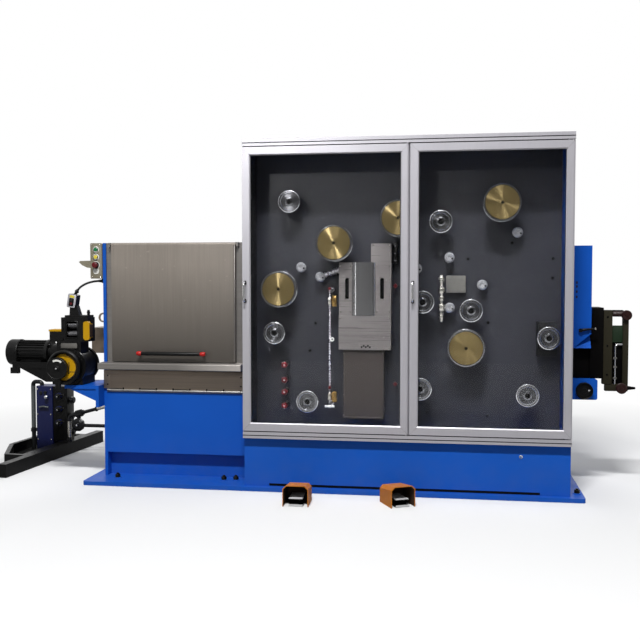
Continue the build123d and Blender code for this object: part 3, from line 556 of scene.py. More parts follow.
def paint(name, colour, rough=(0.34, 0.46), peel=0.10, tone=0.06, gloss=0.28, dust=0.0):
    """Enamel: tone and gloss drift slowly, and the skin has a fine peel."""
    clouds = ((1.7, 4.0), (6.0, 5.0), (420.0, 2.0))
    return skin(name, colour, tone, rough, clouds, (peel, 0.0006), gloss=gloss, dust=dust)


def cast(name, colour, rough=(0.42, 0.6), grain=0.35, tone=0.2, metal=0.0, gloss=0.3):
    """A painted casting: sandy skin, uneven gloss and tone."""
    clouds = ((14.0, 5.0), (30.0, 4.0), (260.0, 4.0))
    return skin(name, colour, tone, rough, clouds, (grain, 0.0008), metal, gloss)


def moulded(name, colour, rough=(0.30, 0.42), gloss=0.3):
    """Moulded plastic or rubber: even colour with a fine grain."""
    clouds = ((22.0, 3.0), (40.0, 3.0), (900.0, 2.0))
    return skin(name, colour, 0.07, rough, clouds, (0.12, 0.0003), gloss=gloss)


def brushed(name, colour, along="x", rough=(0.30, 0.46), metal=0.85, scratch=0.16, tone=0.12, fade=None,
            painted_sheen=None, runs=0.0, nicks=0.0):
    """Brushed sheet: noise drawn out along one direction gives scratches, gloss and tone; a slow cloud
    smudges it. Pale runs and nicks can be laid over it, and painted light too: a painted shade that darkens
    it towards the bottom of a height range, and a painted sheen that lightens it from a stretch of X onwards."""
    mat, tree, shader = blank(name)
    lines = cloud(tree, 1.0, 4.0, STRETCH[along])
    body = mottled(tree, lines, colour, tone)
    layers = [(spread(tree, cloud(tree, 2.6, 4.0), 0.0, 0.45), 0.82)]
    if runs:
        wide = tuple(factor * 0.06 for factor in STRETCH[along])
        layers.append((spread(tree, cloud(tree, 1.0, 4.0, wide), 0.0, runs), 1.4))
    if nicks:
        layers.append((spread(tree, cloud(tree, 38.0, 5.0), 0.0, nicks, 0.67, 0.73), 1.9))
    # Painted shade: below the height range the sheet is darkened by the factor.
    if fade is not None:
        layers.append((spread(tree, coordinate(tree, "Z"), 1.0, 0.0, *fade[:2]), fade[2]))
    # Painted sheen: from the stretch of X onwards the sheet is lightened by the factor.
    if painted_sheen is not None:
        layers.append((spread(tree, coordinate(tree, "X"), 0.0, 1.0, *painted_sheen[:2]), painted_sheen[2]))
    for cover, factor in layers:
        body = blend_colour(tree, cover, body, shade(colour, factor))
    feed(tree, shader, {"Base Color": body, "Metallic": metal, "Roughness": spread(tree, lines, *rough)})
    relief(tree, shader, lines, scratch, 0.0004)
    return mat


def bright(name, colour, rough=(0.08, 0.18)):
    """Polished metal with a light haze of handling."""
    mat, tree, shader = blank(name)
    body = blend_colour(tree, spread(tree, cloud(tree, 18.0, 4.0), 0, 1), shade(colour, 0.9), colour)
    dull = spread(tree, cloud(tree, 35.0, 4.0), *rough)
    feed(tree, shader, {"Base Color": body, "Metallic": 1.0, "Roughness": dull})
    return mat


def ringed(name, colour, rough, depth=0.02, stretch=0.75, metal=1.0, pitch=0.0018):
    """Turned metal: a sine of the stored radius makes the tool's rings, and the gloss is drawn out along the
    turning, which gives a turned face its bright spoke. A slow cloud tarnishes it."""
    mat, tree, shader = blank(name)
    radius = add(tree, "Attribute", attribute_name="turned_radius").outputs["Fac"]
    wave = maths(tree, "SINE", maths(tree, "MULTIPLY", radius, 2 * math.pi / pitch))
    dull = mottled(tree, cloud(tree, 11.0, 4.0), colour, 0.08)
    rings = spread(tree, wave, 0.0, 0.25, -1.0, 1.0)
    tangent = add(tree, "Tangent", direction_type="UV_MAP", uv_map="turning").outputs[0]
    body = blend_colour(tree, rings, dull, shade(colour, 0.7))
    gloss = spread(tree, cloud(tree, 5.0, 3.0), *rough)
    feed(tree, shader, {"Base Color": body, "Roughness": gloss, "Metallic": metal, "Tangent": tangent,
                        "Anisotropic": stretch, "Anisotropic Rotation": 0.25})
    relief(tree, shader, wave, depth, 0.0002)
    return mat


# %% The palette
BLUE = srgb(18, 82, 178)
blue = paint("blue_enamel", BLUE, dust=0.10, gloss=0.10)
blue_upper = paint("blue_enamel_upper", BLUE, gloss=0.10)
# A darker copy of the blue enamel: painted shade for the inside of the right wall.
blue_painted_shade = paint("blue_enamel_painted_shade", shade(BLUE, 0.5), gloss=0.10)
# The stainless lid is painted darker towards the bottom: painted shade. Its pale runs and nicks are wear.
sheet_lid = brushed("stainless_lid", srgb(134, 126, 117), "z", metal=0.3, tone=0.10, fade=(0.80, 1.40, 0.30),
                    runs=0.12, nicks=0.25)
sheet_bare = brushed("stainless_bare", srgb(118, 114, 110), metal=0.35)
sheet_flap = brushed("stainless_flap", srgb(136, 122, 107), rough=(0.34, 0.5), metal=0.3)
sheet_head = brushed("stainless_head", srgb(120, 115, 113), rough=(0.24, 0.4), metal=0.4, tone=0.05,
                     scratch=0.08, runs=0.15, nicks=0.5)
sheet_gloss = brushed("stainless_cover", srgb(205, 203, 203), "z", rough=(0.10, 0.16), metal=1.0, tone=0.03,
                      scratch=0.03)
# The rail is painted lighter towards its right end: a painted sheen.
sheet_rail = brushed("stainless_rail", srgb(118, 114, 110), metal=0.35, painted_sheen=(-0.95, -0.52, 2.6))
sheet_edge = brushed("stainless_edge", srgb(112, 108, 104), "z", rough=(0.25, 0.36), metal=0.5)
aluminium = brushed("aluminium", srgb(180, 178, 184), "z", rough=(0.34, 0.46), metal=0.35, scratch=0.06,
                    tone=0.04)
board = paint("board_enamel", srgb(36, 37, 43), rough=(0.4, 0.55), peel=0.03)
brass = ringed("turned_brass", (0.215, 0.158, 0.064, 1.0), (0.21, 0.23), stretch=1.0, metal=0.7)
steel_rim = ringed("ground_rim", grey(0.52, 0.53), (0.12, 0.18))
pulley_rim = ringed("pulley_rim", grey(0.30, 0.31), (0.14, 0.2))
web_grey = ringed("pulley_web", grey(0.13, 0.135), (0.2, 0.3), depth=0.05)
chrome = bright("chrome", grey(0.80, 0.81))
nickel = bright("nickel", (0.66, 0.63, 0.57, 1.0), rough=(0.18, 0.3))
barrel_steel = bright("hinge_steel", (0.34, 0.33, 0.31, 1.0), rough=(0.28, 0.4))
dark_steel = cast("dark_steel", srgb(7, 7, 8), rough=(0.5, 0.65), grain=0.1)
roll_steel = bright("roll_steel", grey(0.11, 0.115), rough=(0.12, 0.2))
black = cast("black_enamel", srgb(7, 7, 7), rough=(0.3, 0.45), grain=0.18, gloss=0.2)
black_plain = moulded("black_plastic", srgb(8, 8, 8), gloss=0.2)
rubber = moulded("black_rubber", srgb(18, 18, 19), rough=(0.5, 0.65))
slot_black = moulded("slot_black", srgb(5, 5, 5), rough=(0.6, 0.75), gloss=0.1)
# Dark seams and joints; the same dark is also laid as painted shade on the left wall, in the door gaps and
# grooves.
dark_seam_and_shade = moulded("seam_shadow", srgb(24, 24, 26), rough=(0.6, 0.75))
yellow = paint("yellow_enamel", srgb(184, 139, 6), tone=0.05, gloss=0.15)
red = moulded("red_plastic", srgb(176, 24, 20))
deep_red = moulded("red_knob", srgb(88, 10, 18))
cap_pale = brushed("cap_alloy", srgb(168, 168, 170), "y", metal=0.4, rough=(0.2, 0.3), tone=0.05)
green_key = moulded("green_button", srgb(22, 112, 62))
yellow_key = moulded("yellow_button", srgb(206, 188, 62))
white_plain = moulded("white_plastic", srgb(214, 214, 208))
tan = paint("tan_enamel", srgb(52, 46, 43), rough=(0.45, 0.6))
grey_box = cast("grey_enamel", srgb(126, 120, 103), rough=(0.36, 0.5), grain=0.12, tone=0.05)
plate_grey = cast("bare_plate", srgb(96, 94, 90), rough=(0.35, 0.5), grain=0.08)
navy = paint("navy_enamel", srgb(18, 24, 66), tone=0.14)
pipe_grey = cast("pipe_grey", srgb(92, 96, 96), metal=0.5, rough=(0.3, 0.45), grain=0.15)
pipe_dark = cast("pipe_dark", srgb(30, 31, 33), metal=0.4, rough=(0.26, 0.4), grain=0.15)
khaki = paint("khaki_enamel", srgb(40, 37, 26), rough=(0.45, 0.6), gloss=0.1)
umber = paint("umber_enamel", srgb(6, 5, 5), rough=(0.4, 0.55), gloss=0.05)
maroon = moulded("maroon_rubber", srgb(36, 12, 10), rough=(0.35, 0.5))
leaf_green = paint("green_enamel", srgb(18, 38, 18), rough=(0.45, 0.6))
orange = cast("orange_sheet", srgb(190, 114, 28), rough=(0.4, 0.55), grain=0.12, tone=0.08)
# Dark brown: the roll guard's pierced side, and painted shade inside the foot switch hoods.
brown_and_painted_shade = cast("brown_sheet_and_hood_shade", srgb(62, 42, 26), rough=(0.6, 0.75), grain=0.12)
tread_bright = cast("tread_alloy", srgb(205, 205, 206), metal=0.25, rough=(0.3, 0.45), grain=0.2)
cone_steel = brushed("cone_steel", srgb(150, 150, 152), "y", metal=1.0)
brass_fit = bright("brass_fitting", (0.34, 0.21, 0.07, 1.0), rough=(0.2, 0.3))
braid = bright("braided_sleeve", (0.58, 0.56, 0.58, 1.0), rough=(0.22, 0.36))
cable_line.materials.append(rubber)
print("finishes", len(bpy.data.materials))

# %% [markdown]
# ## Door glass
# The panes are clear with a faint smoke tint. A real pane lets lamp light through to the wheels behind it,
# so rays that look for a lamp meet a clear film of the same tint, and all other rays meet glass.

# %% Tinted glass
glass_bend = 1.16
glass, tree, pane = blank("tinted_glass")
haze = spread(tree, cloud(tree, 3.0, 4.0), 0.0, 1.0)
tint = blend_colour(tree, haze, (0.86, 0.87, 0.88, 1), (0.90, 0.91, 0.92, 1))
feed(tree, pane, {"Base Color": tint, "Roughness": 0.0, "IOR": glass_bend, "Transmission Weight": 1.0})
film = add(tree, "BsdfTransparent", {"Color": (0.92, 0.92, 0.93, 1)})
to_lamp = add(tree, "LightPath").outputs["Is Shadow Ray"]
show(tree, add(tree, "MixShader", {0: to_lamp, 1: pane.outputs[0], 2: film.outputs[0]}))
print("glass ior", glass_bend)

# %% [markdown]
# ## Finishes on the solids
# Flat plates and housings keep their solids, because their shapes are right already: they only need a
# finish.

# %% Dress the solids
dress = {
    blue: ["base_plate", "drawing_base", "plinth"],
    blue_upper: ["drawing_end_plate", "gearbox_housing", "cabinet_shell", "pointer_bracket", "exit_box",
                 "exit_bracket"],
    sheet_bare: ["tank"],
    sheet_rail: ["front_rail"],
    sheet_lid: ["lid"],
    sheet_flap: ["flap", "wire_inlet_box"],
    sheet_head: ["preheat_box"],
    aluminium: ["door_surround", "left_door_frame", "right_door_frame"],
    glass: ["left_door_glass", "right_door_glass"],
    chrome: ["left_door_handle", "right_door_handle"],
    board: ["mounting_board"],
    dark_steel: ["wheel_bearings"],
    roll_steel: ["pinch_rolls"],
    tan: ["anneal_box"],
    grey_box: ["control_box"],
    black: ["pointer_body", "pointer_motor", "coolant_skid"],
    black_plain: ["switch_box", "exit_handwheel"],
    yellow: ["pointer_guards"],
    navy: ["coolant_box"],
    pipe_dark: ["coolant_pipes"],
    cone_steel: ["drawing_cones"],
}
for finish, names in dress.items():
    for name in names:
        nodes[name].data.materials.clear()
        nodes[name].data.materials.append(finish)
print("dressed", sum(len(names) for names in dress.values()), "solids")

# %% [markdown]
# ## Contact wheels
# Five wheels carry the wire through the annealing current. Each has a turned brass face, a ground steel rim
# with a shallow groove, and a small dark bolt hole in the middle. A wheel is one line turned about its
# shaft; splitting the line into stretches lets each stretch take its own metal.

# %% Contact wheels
wheel_depth, wheel_bore, face_inset = 50, 9.5, 11
board_low, board_high = corners("mounting_board")
board_face = board_low[1]
shaft_end = board_face - 0.003


def wheel_lines(radius, reach):
    """The (radius, depth) lines of a wheel: bolt hole, brass face, dark joint, and steel rim with its groove
    and a shaft that reaches the board."""
    face, back = radius - face_inset, wheel_depth
    hole = [(0, 6), (wheel_bore, 6), (wheel_bore, 0.8)]
    disc = [(wheel_bore, 0.8), (wheel_bore + 1, 0), (face - 3, 0), (face - 2, 1)]
    gap = [(face - 2, 1), (face - 2, 7), (face + 1, 7), (face + 1, 5)]
    rim = [(face + 1, 5), (face + 2, 4), (radius - 3, 4), (radius, 8), (radius, 12), (radius - 5, 15),
           (radius - 5, back - 11), (radius, back - 8), (radius, back - 2), (radius - 2, back), (20, back),
           (20, reach), (0, reach)]
    return hole, disc, gap, rim


def turned_piece(node, make_lines, finishes, steps):
    """Makes a turned solid again from its own box: each line is turned about the shaft and takes its own
    metal."""
    low, high = corners(node)
    x, _, z = (low + high) / 2
    lines = make_lines((high[0] - low[0]) / 2 / MM, (shaft_end - low[1]) / MM)
    parts = [(lathe(line, (x, low[1], z), steps=steps), finish) for line, finish in zip(lines, finishes)]
    piece(f"{node}_turned", node, parts, [node], turned=(x, z))


for number in range(1, 6):
    metals = (slot_black, brass, dark_seam_and_shade, steel_rim)
    turned_piece(f"contact_wheel_{number}", wheel_lines, metals, 96)

# %% [markdown]
# ## Guide pulleys
# Nine bright pulleys steer the wire. Seen from the front each is a set of rings: a black bolt, a dull
# collar, a darker sunk web and a polished rim with a V groove round it.

# %% Guide pulleys
pulley_depth, rim_width = 36, 22


def pulley_lines(radius, reach):
    """The (radius, depth) lines of a pulley: bolt, collar, sunk web, bright step, flat, and grooved rim with
    its shaft."""
    inner, back = radius - rim_width, pulley_depth
    bolt = [(0, 1), (12.5, 1), (15, 3), (15, 6)]
    collar = [(15, 6), (17, 4), (24, 4), (27, 6), (27, 12)]
    web = [(27, 12), (36, 12), (37, 10), (inner, 10)]
    step = [(inner, 10), (inner + 2, 2), (inner + 4.5, 0)]
    flat = [(inner + 4.5, 0), (inner + 10, 0), (inner + 11, 1.5), (inner + 13, 1.5), (inner + 14, 0),
            (radius - 5, 0)]
    rim = [(radius - 5, 0), (radius - 2.5, 0.4), (radius - 0.6, 1.8), (radius, 4), (radius, 5),
           (radius - 9, 18), (radius, back - 5), (radius, back - 1), (radius - 1, back), (12, back),
           (12, reach), (0, reach)]
    return bolt, collar, web, step, flat, rim


for number in range(1, 10):
    metals = (slot_black, pulley_rim, web_grey, chrome, pulley_rim, chrome)
    turned_piece(f"guide_pulley_{number}", pulley_lines, metals, 72)

# %% [markdown]
# ## Small fittings of the board
# Bright caps with an off-centre screw, a column of valves with lobed red knobs, a chain of plated pipe
# fittings and a small plate stand on the board. Places on the board are measured from its lower left corner,
# as a fitter would.

# %% Caps, valves and pipe fittings
cap_places = [(0.304, 1.054), (0.427, 0.994), (1.232, 1.112), (1.643, 1.264), (1.433, 0.944), (1.236, 0.802),
              (1.033, 1.045)]
knob_places = [(0.203, 0.436), (0.203, 0.340), (0.203, 0.264), (0.203, 0.178)]
cap_front, knob_front = board_face - 0.07, board_face - 0.11


def on_board(x, z, y=board_face):
    """A point that is measured from the board's lower left corner, on its face or at another depth."""
    return np.array([board_low[0] + x, y, board_low[2] + z])


def turned_at(line, x, z, y=board_face, steps=32, **shape):
    """A line turned about a level axis that points out of the board."""
    return lathe(line, on_board(x, z, y), steps=steps, **shape)


cap_line = [(0, 5), (10, 5), (12, 0), (24, 0), (32, 8), (32, 26), (15, 26), (15, 70)]
screw_line = [(0, -1.5), (5, -1.5), (6, 0), (6, 4)]
stem_line = [(0, -90), (9, -90), (9, -20), (17, -18), (17, 0)]
fittings = []
for x, z in cap_places:
    fittings.append((turned_at(cap_line, x, z, cap_front, 40), cap_pale))
    fittings.append((turned_at(screw_line, x + 0.018, z - 0.006, cap_front, 12), slot_black))
fittings += [(turned_at(stem_line, x, z), pipe_dark) for x, z in knob_places]
plate = rounded_block(on_board(1.213, 0.894, board_face - 0.034), on_board(1.334, 1.001), 6, 2)
fittings.append((plate, plate_grey))

# The chain of fittings: hexagon nuts, necks and a valve body, turned about an upright axis
chain_x, chain_out = 1.186, 80
chain = on_board(chain_x, 0, board_face - chain_out * MM)
neck_line = [(0, 716), (10, 716), (13, 726), (13, 800), (10.5, 806), (10.5, 900), (13, 906), (13, 935),
             (11, 938), (11, 1000), (9, 1005), (0, 1005)]
fittings.append((lathe(neck_line, chain, "z", 24), nickel))
nuts = [(738, 758, 16), (786, 822, 23), (846, 872, 17), (892, 924, 21), (975, 992, 17)]
for low_z, high_z, radius in nuts:
    nut = [(0, low_z), (radius - 2, low_z), (radius, low_z + 3), (radius, high_z - 3), (radius - 2, high_z),
           (0, high_z)]
    fittings.append((lathe(nut, chain, "z", 6), nickel))
arm = [(0, -chain_out), (8, -chain_out), (8, -12), (15, -12), (15, 0)]
fittings += [(turned_at(arm, chain_x, z, steps=20), nickel) for z in (0.75, 0.97)]
piece("board_fittings_turned", "machine", fittings, ["board_fittings"])

# %% Red knobs
knob_line = [(0, 0), (10, 0), (18, 3), (19.5, 8), (19.5, 18), (16, 24), (0, 24)]
bolt_line = [(0, -2), (5, -2), (6, 0), (6, 2)]
knobs = []
for x, z in knob_places:
    knobs.append((turned_at(knob_line, x, z, knob_front, 60, lobes=5, lobe=0.07), deep_red))
    knobs.append((turned_at(bolt_line, x, z, knob_front, 6), chrome))
piece("valve_knobs_lobed", "machine", knobs, ["valve_knobs"])

# %% [markdown]
# ## Cooling line
# A braided hose feeds the cooling box. Its beaded look comes from a radius that swells and narrows along the
# path; unions, brass blocks, small red taps and a white eye sit along it.

# %% Cooling line
line_x, line_y = 0.494, corners("cooling_line")[0][1] + 0.009
line_low, line_high = 0.193, 0.911
hose_step, bead = 2, 16
hose_path = bent_path([on_board(line_x, line_high), on_board(line_x, line_high, line_y),
                       on_board(line_x, line_low, line_y), on_board(line_x, line_low)], 24, hose_step)
walked = np.arange(len(hose_path)) * hose_step
line_parts = [(tube(hose_path, 6 + 2.5 * np.cos(2 * np.pi * walked / bead), 14), braid)]
union = [(0, -22), (13, -22), (15, -18), (15, 18), (13, 22), (0, 22)]
for z in (line_high - 0.069, line_low + 0.048):
    line_parts.append((lathe(union, on_board(line_x, z, line_y), "z", 6), nickel))
    block_low = on_board(line_x + 0.016, z - 0.034, line_y - 0.010)
    block_high = on_board(line_x + 0.044, z + 0.034, line_y + 0.02)
    line_parts.append((rounded_block(block_low, block_high, 4, 2), brass_fit))
flange = [(9, -14), (18, -14), (18, 0)]
line_parts += [(turned_at(flange, line_x, z), chrome) for z in (line_low, line_high)]
tap_line = [(0, -20), (9, -20), (10, -16), (10, -6), (4, -6), (4, 4)]
for z in (0.920, 0.300):
    line_parts.append((turned_at(tap_line, line_x, z, line_y, 40, lobes=4, lobe=0.1), deep_red))
white_eye = [(6, -12), (13, -12), (13, -4), (6, -4), (6, -12)]
line_parts.append((turned_at(white_eye, line_x + 0.016, 0.603, line_y), white_plain))
tee = [(0, -30), (7, -30), (8, -26), (6, -10), (10, -8), (10, 8), (6, 10), (8, 26), (7, 30), (0, 30)]
line_parts.append((lathe(tee, on_board(line_x, line_low - 0.014, line_y - 0.004), "x", 18), white_plain))
piece("cooling_line_braided", "machine", line_parts, ["cooling_line"])

# %% [markdown]
# ## Annealing head and cooling box
# The stainless head is bolted together from plates, with a polished half-round cover between its two wire
# slots. The tan box below it has a lipped front. The solids are there already, so only seams, bolts, black
# slot linings that paint shade into the wire slots, and the half-round cover are laid on them.

# %% Annealing head
lower_front = corners("preheat_box")[0][1]
head_front = lower_front + 0.014
cover_low, cover_high = 0.752, 1.083
half_width, proud = 0.072, 0.018


def strip(x0, x1, z0, z1, front):
    """A thin flat strip on an upright face of the board's fittings."""
    return rounded_block(on_board(x0, z0, front - 0.0006), on_board(x1, z1, front + 0.002), 0.4, 0.2,
                         corner_steps=2, edge_steps=2)


def board_bolts(spots, front, *size):
    """Bolt heads on an upright face of the board's fittings."""
    return bolt_heads([on_board(x, z, front) for x, z in spots], *size)


a = np.linspace(0, np.pi, 15)
cover_x, cover_y = board_low[0] + 0.706, head_front + 0.001
cover = np.stack([cover_x + half_width * np.cos(a), cover_y - proud * np.sin(a)], axis=1)
head_parts = [(carried(cover, board_low[2] + cover_low, board_low[2] + cover_high, "z"), sheet_gloss)]
guide_line = [(4, 0), (8, 0), (8, 8), (4, 8)]
# Painted shade: a black block fills each wire slot, with dark guides in it.
for x in (0.601, 0.820):
    slot_low = on_board(x - 0.0118, 0.8555, head_front + 0.006)
    slot_high = on_board(x + 0.0118, 0.9855, head_front + 0.039)
    head_parts.append((rounded_block(slot_low, slot_high, 11.5, 1), slot_black))
    for z in (0.87, 0.905, 0.94, 0.972):
        head_parts.append((turned_at(guide_line, x, z, head_front, 16), slot_black))
seams = [(0.6325, 0.6340, cover_low, cover_high), (0.7780, 0.7795, cover_low, cover_high),
         (0.7505, 0.7515, cover_high, 1.2)]
head_parts += [(strip(*seam, head_front), dark_seam_and_shade) for seam in seams]
head_parts += [(strip(0.552, 0.876, z, z + 0.0009, lower_front), dark_seam_and_shade) for z in (0.655, 0.628, 0.598)]
head_bolts = [(x, z) for x in (0.562, 0.622, 0.790, 0.865) for z in (0.775, 1.06)]
head_bolts += [(0.765, 1.19), (0.865, 1.19)]
lower_bolts = [(0.56, 0.735), (0.868, 0.735), (0.56, 0.548), (0.868, 0.548)]
cluster = [(0.695 + 0.013 * k, 0.556 + 0.008 * (k % 2)) for k in range(5)]
block_front = board_face - 0.05
head_parts += [
    (board_bolts(head_bolts, head_front, 4.5), nickel),
    (board_bolts(lower_bolts, lower_front, 4.5), nickel),
    (board_bolts(cluster, lower_front, 6.5, 6), black_plain),
    (rounded_block(on_board(0.884, 1.075, block_front), on_board(0.912, 1.205), 4, 2), black_plain),
    (board_bolts([(0.898, z) for z in (1.095, 1.14, 1.185)], block_front, 6), chrome),
]
piece("annealing_head_trim", "machine", head_parts)

# %% Cooling box
tan_low, tan_high = corners("anneal_box")
lip = [(0, 1), (0, -3), (9, -3), (10, -2), (10, 1)]
rows = np.linspace(tan_low[2] + 0.02, tan_high[2] - 0.02, 4)
tan_bolts = face_grid((tan_low[0] + 0.005, tan_high[0] - 0.005), tan_low[1] - 0.003, rows)
tan_parts = [(mitred_frame(tan_low, tan_high, lip), tan), (bolt_heads(tan_bolts, 3.2, 2), nickel)]
piece("cooling_box_lip", "machine", tan_parts)

# %% Screws and taps of the board
board_screws = [(0.388, 0.698), (0.351, 0.521), (1.614, 1.202), (1.347, 1.104), (1.861, 1.105),
                (1.859, 0.986), (1.473, 0.709), (1.475, 0.125), (1.099, 0.141)]
side_tap = [(0, -50), (12, -50), (13, -36), (5, -36), (5, 0)]
screw_parts = [(board_bolts(board_screws, board_face, 10, 5), slot_black)]
for z in (0.937, 0.320):
    screw_parts.append((turned_at(side_tap, 0.900, z, steps=40, lobes=4, lobe=0.12), deep_red))
piece("board_screws", "machine", screw_parts)

# %% Wrapped arm
arm_y, arm_rows = board_face - 0.052, 60
arm_line = np.linspace(on_board(0.440, 1.000, arm_y), on_board(0.556, 1.040, arm_y), arm_rows)
walk = np.linspace(0, 1, arm_rows)
arm_width = 14 + 6 * walk + 2.2 * np.sin(47 * walk) + 1.6 * np.sin(83 * walk + 1.0)
wrapped = tube(arm_line, arm_width, 18, up=(0.1, 1.0, 0.1))
piece("wrapped_arm", "machine", [(wrapped, braid)])

# %% [markdown]
# ## Painted shade on the walls, in the gaps and in the slot
# The side walls carry a plate inside as painted shade, dark on the left and a darker blue on the right.
# Dark strips in the gaps over and under the doors and in the grooves of the header and the sill are painted
# shade too, and a black block paints shade into the plinth's long slot.

# %% Painted shade: wall plates, gap strips and groove strips
shell_low, shell_high = corners("cabinet_shell")
frame_low, frame_high = corners("door_surround")
wall, left_thick, right_thick = 0.020, 0.004, 0.016
header, sill = 0.042, 0.040


def wall_plate(x0, x1):
    """A plate from the door surround to the board, as high as the board."""
    return rounded_block((x0, frame_high[1] + 0.001, board_low[2] + 0.002),
                         (x1, board_face - 0.0005, board_high[2] - 0.002), 2, 1, "x")


def groove_bar(left, right, front, back, low_z, high_z, *radii):
    """A bar along the surround, its ends and depths measured from the surround's own."""
    return rounded_block((frame_low[0] + left, frame_low[1] + front, low_z),
                         (frame_high[0] - right, frame_low[1] + back, high_z), *radii)


# Painted shade: a dark plate on the left wall and a darker blue plate on the right wall.
left_shade_plate = wall_plate(shell_low[0] + wall, shell_low[0] + wall + left_thick)
right_shade_plate = wall_plate(shell_high[0] - wall - right_thick, shell_high[0] - wall)
piece("side_wall_shade_plates", "machine", [(left_shade_plate, dark_seam_and_shade), (right_shade_plate, blue_painted_shade)])
# Painted shade: dark strips in the gaps over and under the doors, and in the grooves of the header and the
# sill.
gap_strip_z = (frame_low[2] + sill - 0.0002, frame_high[2] - header - 0.0008)
gap_shade_strips = [groove_bar(0.001, 0.040, 0.0015, 0.030, z, z + 0.001, 0.4, 0.2) for z in gap_strip_z]
groove_z = (frame_high[2] - 0.55 * header, frame_low[2] + 0.45 * sill)
gap_shade_strips += [groove_bar(0.0005, 0.0005, 0.002, 0.0058, z - 0.0029, z + 0.0029, 0.5, 0.3) for z in groove_z]
piece("surround_shade_strips", "machine", [(shape, dark_seam_and_shade) for shape in gap_shade_strips])
plinth_low, plinth_high = corners("plinth")
# Painted shade: a black block sits inside the plinth's long slot.
slot = rounded_block((plinth_low[0] + 0.156, plinth_low[1] + 0.003, plinth_low[2] + 0.0035),
                     (plinth_high[0] - 0.175, plinth_low[1] + 0.039, plinth_low[2] + 0.0185), 1, 0.5)
piece("plinth_slot_painted_shade", "machine", [(slot, slot_black)])

# %% [markdown]
# ## Door trim
# Each pane is held by a sloping aluminium bead and a thin black gasket, and the frame's corners are mitred.
# The bead and the gasket are outlines carried round the opening; each mitre is a hairline laid from corner
# to corner.

# %% Door beads, gaskets and mitres
stile, groove, hair = 0.044, 0.008, 0.0005
bead_outline = [(0, 4), (6, 8.2), (6, 9.8), (0, 9.8)]
gasket_outline = [(6, 8.8), (9.5, 9.1), (9.5, 9.9), (6, 9.9)]
for side in ("left", "right"):
    door_low, door_high = corners(f"{side}_door_frame")
    pane_low, pane_high = corners(f"{side}_door_glass")
    door_low[2], door_high[2] = pane_low[2] - stile + groove, pane_high[2] + stile - groove
    inner_low, inner_high = door_low + (stile, 0, stile), door_high - (stile, 0, stile)
    trim = [(mitred_frame(inner_low, inner_high, bead_outline), aluminium),
            (mitred_frame(inner_low, inner_high, gasket_outline), rubber)]
    front = door_low[1]
    for outer_x, inner_x in ((door_low[0], inner_low[0]), (door_high[0] - 0.002, inner_high[0])):
        for outer_z, inner_z in ((door_low[2], inner_low[2]), (door_high[2], inner_high[2])):
            line = [(outer_x - hair, outer_z), (outer_x + hair, outer_z), (inner_x + hair, inner_z),
                    (inner_x - hair, inner_z)]
            trim.append((carried(line, front - 0.0003, front + 0.001), plate_grey))
    grip_low, grip_high = corners(f"{side}_door_handle")
    for z in (grip_low[2], grip_high[2] - 0.013):
        foot_low = (grip_low[0] - 0.003, front - 0.006, z - 0.006)
        foot_high = (grip_high[0] + 0.003, front + 0.001, z + 0.019)
        trim.append((rounded_block(foot_low, foot_high, 8, 2), black_plain))
    piece(f"{side}_door_trim", f"{side}_door", trim)

# %% [markdown]
# ## Bolts on the base
# Black hexagon nuts on painted washers hold the base plate down: one at each corner hole and two more in
# front of the drawing section. A nut is a turned line with six sides, its stud and its washer the same with
# many.

# %% Base bolts
plate_top = corners("base_plate")[1][2]
anchor_x, anchor_y = (-1.365, 1.517), (-0.470, 0.560)
bolt_places = [(x, y) for x in anchor_x for y in anchor_y] + [(-0.667, -0.437), (-0.591, -0.426)]
spots = [(x, y, plate_top) for x, y in bolt_places]
nut_line = [(10, 3), (17.5, 3), (17.5, 21), (15.5, 24), (9, 24)]
stud_line = [(9, 23), (9, 30), (7, 32), (0, 32)]
washer_line = [(8, 0), (26, 0), (26, 3), (25, 4), (8, 4)]
bolt_rows = ((nut_line, 6, black_plain), (stud_line, 20, black_plain), (washer_line, 32, blue))
bolts = [(copies(lathe(line, axis="z", steps=steps), spots), finish) for line, steps, finish in bolt_rows]
piece("base_bolts", "machine", bolts)

# %% [markdown]
# ## Lid and its handle
# The lid is a folded stainless pan with a bright ground edge on the right. Its handle is a black rubber bar
# between two red moulded ends.

# %% Lid trim and handle
lid_low, lid_high = corners("lid")
pan_right = lid_high[0] - 0.018
edge = rounded_block((pan_right - 0.011, lid_low[1] - 0.0012, lid_low[2] + 0.004),
                     (pan_right - 0.001, lid_low[1] + 0.002, lid_high[2] - 0.016), 2, 0.8)
piece("lid_edge", "lid", [(edge, sheet_edge)])
grip_low, grip_high = corners("lid_handle")
grip_z = (grip_low[2] + grip_high[2]) / 2
bar_y = grip_low[1] + 0.017
end, span = 34, (grip_high[0] - grip_low[0]) / MM
sleeve = [(0, 0), (10, 0), (13, 4), (14.5, end / 2), (13, end - 4), (10, end), (0, end)]
bar_line = [(11.5, 20), (11.5, 60), (12.5, 64), (12.5, span - 64), (11.5, span - 60), (11.5, span - 20)]
handle = []
for x in (grip_low[0], grip_high[0] - end * MM):
    handle.append((lathe(sleeve, (x, bar_y, grip_z), "x", 32), red))
    foot_low, foot_high = (x + 0.009, bar_y, grip_z - 0.008), (x + 0.025, grip_high[1], grip_z + 0.008)
    handle.append((rounded_block(foot_low, foot_high, 4, 1), red))
handle.append((lathe(bar_line, (grip_low[0], bar_y, grip_z), "x", 24), black_plain))
piece("lid_handle_bar", "lid", handle, ["lid_handle"])

# %% [markdown]
# ## Flap and its long hinge
# The drop flap hangs on one long pin. Barrels of steel alternate between the tank and the flap, with a black
# block over each joint as painted shadow. A strip with two screws stiffens each end of the flap, and a hem
# closes its upper edge under the rail. The barrels are short turned sleeves; those of the flap ride with the
# flap.

